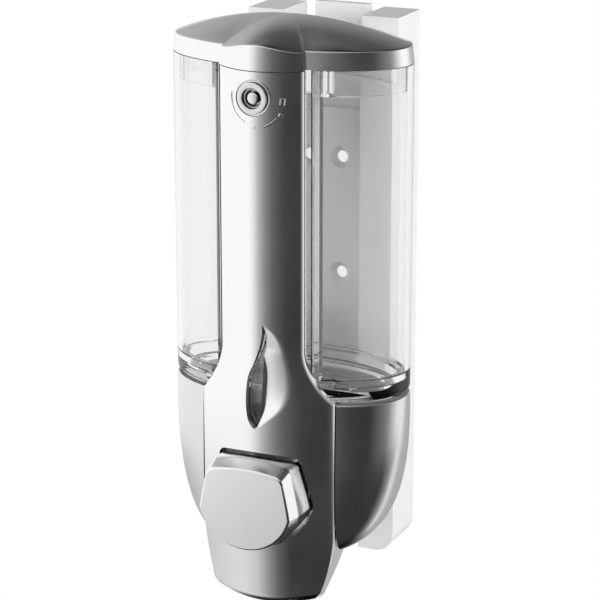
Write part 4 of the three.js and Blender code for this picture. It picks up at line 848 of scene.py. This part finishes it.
LOCK_SHARP = 25
LOCK_RING = [(3.5, -78.35), (6.3, -78.35), (6.3, -78.72), (6.24, -78.84), (6.13, -78.86), (6.05, -78.75),
             (6.03, -78.5), (5.42, -78.5), (5.4, -79.3), (5.32, -79.43), (5.2, -79.49), (5.05, -79.5),
             (3.95, -79.5), (3.8, -79.49), (3.66, -79.42), (3.6, -79.25), (3.6, -78.7)]
KEY_PLUG = [(0, -76.1), (2.9, -76.1), (2.9, -78.35), (2.98, -78.47), (3.3, -78.47), (3.4, -78.37), (3.4, -76),
            (3.2, -76), (3.2, -68.15), (1.35, -68.15), (1.35, -72.4), (0, -72.4)]
KEY_PIN = [(0, -76.4), (2.05, -76.4), (2.05, -78.6), (1.97, -78.85), (1.75, -79), (1.4, -79.06), (0, -79.1)]
# Where the lock's near-black painted shade goes: the ring's groove and bore, and the plug's face
GROOVE_INNER, GROOVE_OUTER = 5.38, 6.04
RING_BORE = 3.62
RING_FACE = -79.28
PLUG_FLOOR = -75.9


def ring_painted_shade(x, y, z):
    """True for the ring's groove and the wall of its bore, which take near-black painted shade."""
    reach = hypot(x, z - LOCK[2])
    return y > RING_FACE and (GROOVE_INNER < reach < GROOVE_OUTER or reach < RING_BORE)


def plug_painted_shade(x, y, z):
    """True for the plug's face and the slot round the pin, which take near-black painted shade."""
    return y < PLUG_FLOOR


def make_lock(chrome, metal, bare_and_shade_finish):
    """The ring, the plug that turns with the key and the pin in its middle."""
    ring = turned("lock_ring", LOCK_RING, "y", LOCK, 120, LOCK_SHARP)
    dress(ring, "lock_bezel", "housing", chrome)
    # Near-black painted shade in the ring's groove and bore
    unplate_and_paint_shade(ring, bare_and_shade_finish, ring_painted_shade)
    plug = turned("key_plug", KEY_PLUG, "y", LOCK, 96, LOCK_SHARP)
    dress(plug, "lock_plug", "lock", metal)
    # Near-black painted shade on the plug's face round the pin
    unplate_and_paint_shade(plug, bare_and_shade_finish, plug_painted_shade)
    pin = turned("key_pin", KEY_PIN, "y", LOCK, 64, LOCK_SHARP)
    dress(pin, "lock_pin", "lock", chrome)


# ---- plain raised marks round the lock: arcs and ticks, no lettering ----

# Each mark's name, start and end in degrees, distance from the lock's middle, width and steps
LOCK_MARKS = (("left_arc", 172, 248, 9, 0.6, 30), ("right_arc", -69, -39, 10.3, 0.6, 14),
              ("low_tick", -95, -86, 9.8, 1.3, 6), ("right_tick", -34, -28, 10.7, 1.3, 4),
              ("side_tick", -12, 1, 9.7, 1.6, 6))
# A mark's section as (share of its width across, height above the panel)
MARK_SECTION = ((-0.5, -0.3), (-0.5, 0.08), (-0.25, 0.28), (0.25, 0.28), (0.5, 0.08), (0.5, -0.3))


def raised_line(name, start, end, radius, width, parts):
    """A low raised line on the panel, along an arc about the lock."""
    rings = []
    for angle in span(radians(start), radians(end), parts):
        ring = []
        for across, up in MARK_SECTION:
            reach = radius + across * width
            x, z = reach * cos(angle), LOCK[2] + reach * sin(angle)
            ring.append((x, -FRONT + panel_drop(x, z) - up, z))
        rings.append(ring)
    return skin(name, rings, PANEL_SHARP)


def make_lock_marks(material):
    """All the marks, each a piece of its own."""
    for mark in LOCK_MARKS:
        dress(raised_line(*mark), None, "housing", material)


# ---- finishes ----

def wire(tree, start, output, end, socket):
    """Links an output of one node to a socket of another."""
    tree.links.new(start.outputs[output], end.inputs[socket])


def new_nodes(tree, *kinds):
    """New shader nodes of the given kinds."""
    return [tree.nodes.new("ShaderNode" + kind) for kind in kinds]


def new_material(name):
    """A material with its node tree."""
    material = bpy.data.materials.new(name)
    material.use_nodes = True
    return material, material.node_tree


def fill(node, values):
    """Sets sockets of a node to the given values."""
    for socket, value in values.items():
        node.inputs[socket].default_value = value


def map_range(tree, low, high, start, end, smooth=False):
    """A node that carries the values from low to high over to start to end."""
    node = tree.nodes.new("ShaderNodeMapRange")
    if smooth:
        node.interpolation_type = "SMOOTHSTEP"
    fill(node, {"From Min": low, "From Max": high, "To Min": start, "To Max": end})
    return node


def wear_group():
    """Grain and faint handling marks: a mask for colour and gloss, and a height for the bump."""
    group = bpy.data.node_groups.new("grain_and_marks", "ShaderNodeTree")
    face = group.interface
    for label, low, high, value in (("Grain Scale", 10, 20000, 2500), ("Mark Scale", 1, 2000, 60),
                                    ("Stretch", 0.01, 10, 1)):
        item = face.new_socket(label, in_out="INPUT", socket_type="NodeSocketFloat")
        item.default_value, item.min_value, item.max_value = value, low, high
    face.new_socket("Marks", in_out="OUTPUT", socket_type="NodeSocketFloat")
    face.new_socket("Height", in_out="OUTPUT", socket_type="NodeSocketFloat")
    inside, outside = group.nodes.new("NodeGroupInput"), group.nodes.new("NodeGroupOutput")
    place, stretch, spread = new_nodes(group, "TexCoord", "Mapping", "CombineXYZ")
    grain, marks = new_nodes(group, "TexNoise", "TexNoise")
    fill(spread, {"X": 1, "Y": 1})
    wire(group, inside, "Stretch", spread, "Z")
    wire(group, place, "Object", stretch, "Vector")
    wire(group, spread, "Vector", stretch, "Scale")
    for noise, scale, detail in ((grain, "Grain Scale", 3), (marks, "Mark Scale", 6)):
        fill(noise, {"Detail": detail})
        wire(group, stretch, "Vector", noise, "Vector")
        wire(group, inside, scale, noise, "Scale")
    wire(group, marks, "Fac", outside, "Marks")
    wire(group, grain, "Fac", outside, "Height")
    return group


WEAR = wear_group()
# The colour mixing node's sockets: factor, first and second colour, and its output
MIX_FACTOR, MIX_FIRST, MIX_SECOND, MIXED = 0, 6, 7, 2
MARKS_LOW, MARKS_HIGH = 0.3, 0.7
LEAST_ROUGHNESS = 0.01
RELIEF = 0.5


def finish(name, light, dark, roughness, metallic=0, grain=2500, marks=60, stretch=1, depth=0.02,
           spread=0.05):
    """A material whose colour, gloss and fine relief vary a little over the surface."""
    material, tree = new_material(name)
    shader = tree.nodes["Principled BSDF"]
    wear, tint, relief = new_nodes(tree, "Group", "Mix", "Bump")
    wear.node_tree = WEAR
    fill(wear, {"Grain Scale": grain, "Mark Scale": marks, "Stretch": stretch})
    tint.data_type = "RGBA"
    fill(tint, {MIX_FIRST: (*dark, 1), MIX_SECOND: (*light, 1)})
    smoothest = max(LEAST_ROUGHNESS, roughness - spread)
    gloss = map_range(tree, MARKS_LOW, MARKS_HIGH, smoothest, roughness + spread)
    fill(relief, {"Strength": RELIEF, "Distance": depth * MM})
    wire(tree, wear, "Marks", tint, MIX_FACTOR)
    wire(tree, tint, MIXED, shader, "Base Color")
    wire(tree, wear, "Marks", gloss, "Value")
    wire(tree, gloss, "Result", shader, "Roughness")
    wire(tree, wear, "Height", relief, "Height")
    wire(tree, relief, "Normal", shader, "Normal")
    fill(shader, {"Metallic": metallic})
    return material


def clear_finish(name, tint, roughness, bending=1.49):
    """Clear plastic: glass to the eye, open to shadow rays so that light reaches what is inside."""
    material = finish(name, tint, tint, roughness, grain=60, marks=25, depth=0.05, spread=0.01)
    tree = material.node_tree
    shader = tree.nodes["Principled BSDF"]
    fill(shader, {"Transmission Weight": 1, "IOR": bending})
    rays, mix, open_to_light = new_nodes(tree, "LightPath", "MixShader", "BsdfTransparent")
    wire(tree, rays, "Is Shadow Ray", mix, "Fac")
    wire(tree, shader, "BSDF", mix, 1)
    wire(tree, open_to_light, "BSDF", mix, 2)
    wire(tree, mix, "Shader", tree.nodes["Material Output"], "Surface")
    return material


def grey(level):
    """A neutral colour."""
    return (level, level, level)


def make_finishes():
    """Every finish, by the name that the pieces ask for."""
    return {
        "satin_silver": finish("satin_silver_plating", grey(0.97), grey(0.91), 0.17, 1, 3500, 90, 0.6, 0.012),
        "dark_silver": finish("dark_silver_plating", grey(0.82), grey(0.74), 0.2, 1, 3500, 90, 0.6, 0.012),
        "clear_plastic": clear_finish("clear_moulded_plastic", (0.935, 0.94, 0.94), 0.02),
        "thin_clear": clear_finish("thin_clear_plastic", grey(0.98), 0.02, 1.2),
        "bracket_plastic": finish("bracket_plating", grey(0.92), grey(0.87), 0.34, 0.25, 3000, 70),
        "bright_chrome": finish("bright_chrome_plating", grey(0.88), grey(0.84), 0.07, 1, 3000, 120, 1, 0.005,
                                0.02),
        "lock_metal": finish("satin_zinc", grey(0.72), grey(0.6), 0.26, 1, 4000, 200),
        "spring_steel": finish("drawn_steel_wire", grey(0.62), grey(0.5), 0.28, 1, 5000, 300, 3),
        "white_plastic": finish("moulded_white_plastic", (0.84, 0.84, 0.82), (0.78, 0.78, 0.76), 0.45, 0,
                                2500, 80),
        # Near-black plastic: bare on the panel's back, and painted shade in the gaps and recesses of the
        # panel and the lock
        "bare_plastic": finish("bare_plastic_painted_shade", grey(0.035), grey(0.02), 0.5, 0, 2500, 80),
        "grey_plastic": finish("grey_shelf_plastic", grey(0.2), grey(0.13), 0.35, 0, 2500, 80),
        "level_window": clear_finish("level_window_plastic", (0.7, 0.71, 0.71), 0.3),
        "grey_rubber": finish("matt_grey_rubber", grey(0.3), grey(0.24), 0.6, 0, 2000, 100, 1, 0.05),
        "black_rubber": finish("matt_black_rubber", grey(0.03), grey(0.018), 0.7, 0, 2000, 100, 1, 0.05),
    }


OWN_FINISHES = {"top_collar": "thin_clear", "tank_seal": "grey_rubber"}


def dress_cad_nodes(finishes):
    """Nodes that keep their CAD shape take the record's finish, or the one in OWN_FINISHES."""
    slots = {part["node"]: part["material_slot"] for part in frame["record"]["subparts"]}
    for name, node in frame["nodes"].items():
        if node.type != "MESH":
            continue
        finish_here = finishes[OWN_FINISHES.get(name, slots[name])]
        if not node.material_slots:
            node.data.materials.append(finish_here)
        for holder in node.material_slots:
            holder.material = finish_here


# ---- floor, sky, lamps and the studio drum that metal reflects ----

WHITE = (1, 1, 1, 1)
SKY_LEVEL = 0.8
SKY_DUSK = 8
DUSK_START, DUSK_END = 0.3, 0.55
FLOOR_HALF = 1500
FLOOR_TOP = -300
FLOOR_DEPTH = 20
FLOOR_GREY = 0.8
FLOOR_ROUGHNESS = 0.6


def white_to_the_eye(tree, plain, output):
    """Shows pure white to camera, glossy and transmission rays, and the plain shader to all others."""
    rays, seen, any_ray, mix = new_nodes(tree, "LightPath", "Math", "Math", "MixShader")
    seen.operation = any_ray.operation = "MAXIMUM"
    wire(tree, rays, "Is Camera Ray", seen, 0)
    wire(tree, rays, "Is Glossy Ray", seen, 1)
    wire(tree, seen, 0, any_ray, 0)
    wire(tree, rays, "Is Transmission Ray", any_ray, 1)
    bright = tree.nodes.new("ShaderNodeBackground" if output == "World Output" else "ShaderNodeEmission")
    fill(bright, {"Color": WHITE})
    wire(tree, any_ray, 0, mix, 0)
    wire(tree, plain, 0, mix, 1)
    wire(tree, bright, 0, mix, 2)
    wire(tree, mix, 0, tree.nodes[output], "Surface")


def make_sky():
    """An even sky that grows dim overhead."""
    world = bpy.data.worlds.new("studio")
    bpy.context.scene.world = world
    world.use_nodes = True
    tree = world.node_tree
    plain = tree.nodes["Background"]
    fill(plain, {"Color": WHITE})
    place, parts = new_nodes(tree, "TexCoord", "SeparateXYZ")
    dusk = map_range(tree, DUSK_START, DUSK_END, SKY_LEVEL, SKY_LEVEL / SKY_DUSK)
    wire(tree, place, "Generated", parts, "Vector")
    wire(tree, parts, "Z", dusk, "Value")
    wire(tree, dusk, "Result", plain, "Strength")
    white_to_the_eye(tree, plain, "World Output")


def make_floor():
    """A pale floor well below the dispenser."""
    piece = block("floor", (-FLOOR_HALF, -FLOOR_HALF, FLOOR_TOP - FLOOR_DEPTH),
                  (FLOOR_HALF, FLOOR_HALF, FLOOR_TOP))
    material, tree = new_material("pale_floor")
    plain = tree.nodes["Principled BSDF"]
    fill(plain, {"Base Color": (*grey(FLOOR_GREY), 1), "Roughness": FLOOR_ROUGHNESS})
    white_to_the_eye(tree, plain, "Material Output")
    piece.data.materials.append(material)


# Brightness by direction round the object, as (degrees, linear level): the front is 0 and the right is 90
WALL_STOPS = [(-180, 0.4), (-150, 0.5), (-122, 1), (-40, 1), (-30, 1), (-21, 0.78), (-12, 0.47), (0, 0.24),
              (12, 0.115), (30, 0.045), (50, 0.035), (78, 0.25), (103, 1), (124, 1), (146, 0.5), (180, 0.45)]
LOW_STOPS = [(-180, 0.4), (-122, 0.55), (-60, 0.72), (-40, 0.72), (-22, 0.6), (-10, 0.34), (4, 0.12),
             (18, 0.04), (84, 0.035), (104, 0.3), (120, 0.95), (140, 0.5), (180, 0.45)]
LID_STOPS = [(-180, 0.16), (-158, 0.22), (-120, 0.4), (-80, 0.8), (-20, 0.8), (40, 0.2), (100, 0.06),
             (140, 0.08), (180, 0.16)]
# The drum's outline as (radius, height), and its own y
DRUM = ((5, -294), (480, -294), (480, 900), (5, 900))
DRUM_SIDES = 96
DRUM_Y = -40
# Masks up the drum as (from height, to height, from level, to level): roof, the roof's dimming and floor
DRUM_LEVELS = ((0.16, 0.22, 0, 1), (0.2, 0.85, 1.3, 0.45), (-0.17, -0.24, 0, 1))
# The dark middle of the floor as (from squared distance, to squared distance, from level, to level)
DARK_MIDDLE = (0.01, 0.05, 0.02, 1)


def turn_ramp(tree, turn, stops):
    """A ramp of grey levels round the drum."""
    ramp = tree.nodes.new("ShaderNodeValToRGB")
    ramp.color_ramp.interpolation = "LINEAR"
    marks = ramp.color_ramp.elements
    while len(marks) > 1:
        marks.remove(marks[-1])
    for i, (degrees, level) in enumerate(stops):
        share = (degrees + 180) / 360
        mark = marks.new(share) if i else marks[0]
        mark.position = share
        mark.color = (*grey(level), 1)
    wire(tree, turn, 0, ramp, "Fac")
    return ramp


def direction_share(tree, parts):
    """The direction round the drum as a share of a turn, with the front at one half."""
    flip, angle, share = new_nodes(tree, "Math", "Math", "Math")
    flip.operation, angle.operation, share.operation = "MULTIPLY", "ARCTAN2", "MULTIPLY_ADD"
    fill(flip, {1: -1})
    fill(share, {1: 1 / (2 * pi), 2: 0.5})
    wire(tree, parts, "Y", flip, 0)
    wire(tree, parts, "X", angle, 0)
    wire(tree, flip, 0, angle, 1)
    wire(tree, angle, 0, share, 0)
    return share


def mix_colours(tree, first, output, second, other_output):
    """A node that mixes the colours that two others put out."""
    mix = tree.nodes.new("ShaderNodeMix")
    mix.data_type = "RGBA"
    wire(tree, first, output, mix, MIX_FIRST)
    wire(tree, second, other_output, mix, MIX_SECOND)
    return mix


def middle_mask(tree, parts):
    """Nearly dark in the middle of the drum's floor, right under the dispenser."""
    square, reach = new_nodes(tree, "Math", "Math")
    square.operation, reach.operation = "MULTIPLY", "MULTIPLY_ADD"
    for factor in (0, 1):
        wire(tree, parts, "Y", square, factor)
        wire(tree, parts, "X", reach, factor)
    wire(tree, square, 0, reach, 2)
    middle = map_range(tree, *DARK_MIDDLE, smooth=True)
    wire(tree, reach, 0, middle, "Value")
    return middle


def make_drum():
    """The studio that only reflections see, with a dark side at the front right and a dim roof."""
    points = [(r * cos(a), r * sin(a) + DRUM_Y, z) for r, z in DRUM for a in around(DRUM_SIDES)]
    drum = new_piece("studio_drum", points, ring_faces(DRUM_SIDES, len(DRUM)))
    material, tree = new_material("studio_drum")
    tree.nodes.remove(tree.nodes["Principled BSDF"])
    place, parts, glow = new_nodes(tree, "TexCoord", "SeparateXYZ", "Emission")
    wire(tree, place, "Object", parts, "Vector")
    turn = direction_share(tree, parts)
    upper, dim, lower = (map_range(tree, *levels, smooth=True) for levels in DRUM_LEVELS)
    for level in (upper, dim, lower):
        wire(tree, parts, "Z", level, "Value")
    wall_ramp, low_ramp, lid_ramp = (turn_ramp(tree, turn, stops)
                                     for stops in (WALL_STOPS, LOW_STOPS, LID_STOPS))
    over = mix_colours(tree, lid_ramp, 0, dim, "Result")
    over.blend_type = "MULTIPLY"
    fill(over, {MIX_FACTOR: 1})
    walls = mix_colours(tree, wall_ramp, 0, low_ramp, 0)
    wire(tree, lower, "Result", walls, MIX_FACTOR)
    whole = mix_colours(tree, walls, MIXED, over, MIXED)
    wire(tree, upper, "Result", whole, MIX_FACTOR)
    wire(tree, whole, MIXED, glow, "Color")
    wire(tree, middle_mask(tree, parts), "Result", glow, "Strength")
    wire(tree, glow, 0, tree.nodes["Material Output"], "Surface")
    drum.data.materials.append(material)
    drum.visible_camera = drum.visible_diffuse = drum.visible_transmission = False
    drum.visible_volume_scatter = drum.visible_shadow = False


LAMP_AIM = Vector((0, -0.04, 0))
# Each lamp's name, place in metres, size and power
LAMPS = (("key_lamp", (-0.9, -1.1, 1.1), 0.9, 12), ("fill_lamp", (1.2, -0.7, 0.5), 1, 18))


def make_lamp(name, place, size, power):
    """A round lamp aimed at the dispenser, which reflections don't see."""
    lamp = add_object(name, bpy.data.lights.new(name, "AREA"))
    lamp.data.shape = "DISK"
    lamp.data.size = size
    lamp.data.energy = power
    lamp.location = place
    turn_back(lamp, Vector(place) - LAMP_AIM)
    lamp.visible_glossy = False
    lamp.visible_transmission = False
    lamp.visible_camera = False


def main():
    """The studio first, then every piece from the wall forward."""
    bpy.context.scene.view_settings.view_transform = "Standard"
    aim_camera()
    make_sky()
    make_floor()
    make_drum()
    for lamp in LAMPS:
        make_lamp(*lamp)
    finishes = make_finishes()
    dress_cad_nodes(finishes)
    make_bracket(finishes["bracket_plastic"])
    make_tank(finishes["clear_plastic"])
    make_housing(finishes["dark_silver"], finishes["grey_plastic"])
    make_front_panel(finishes["satin_silver"], finishes["bare_plastic"])
    make_push_button(finishes["satin_silver"])
    make_window(finishes["level_window"])
    make_lock(finishes["bright_chrome"], finishes["lock_metal"], finishes["bare_plastic"])
    make_lock_marks(finishes["satin_silver"])
    make_lid(finishes["satin_silver"])


main()
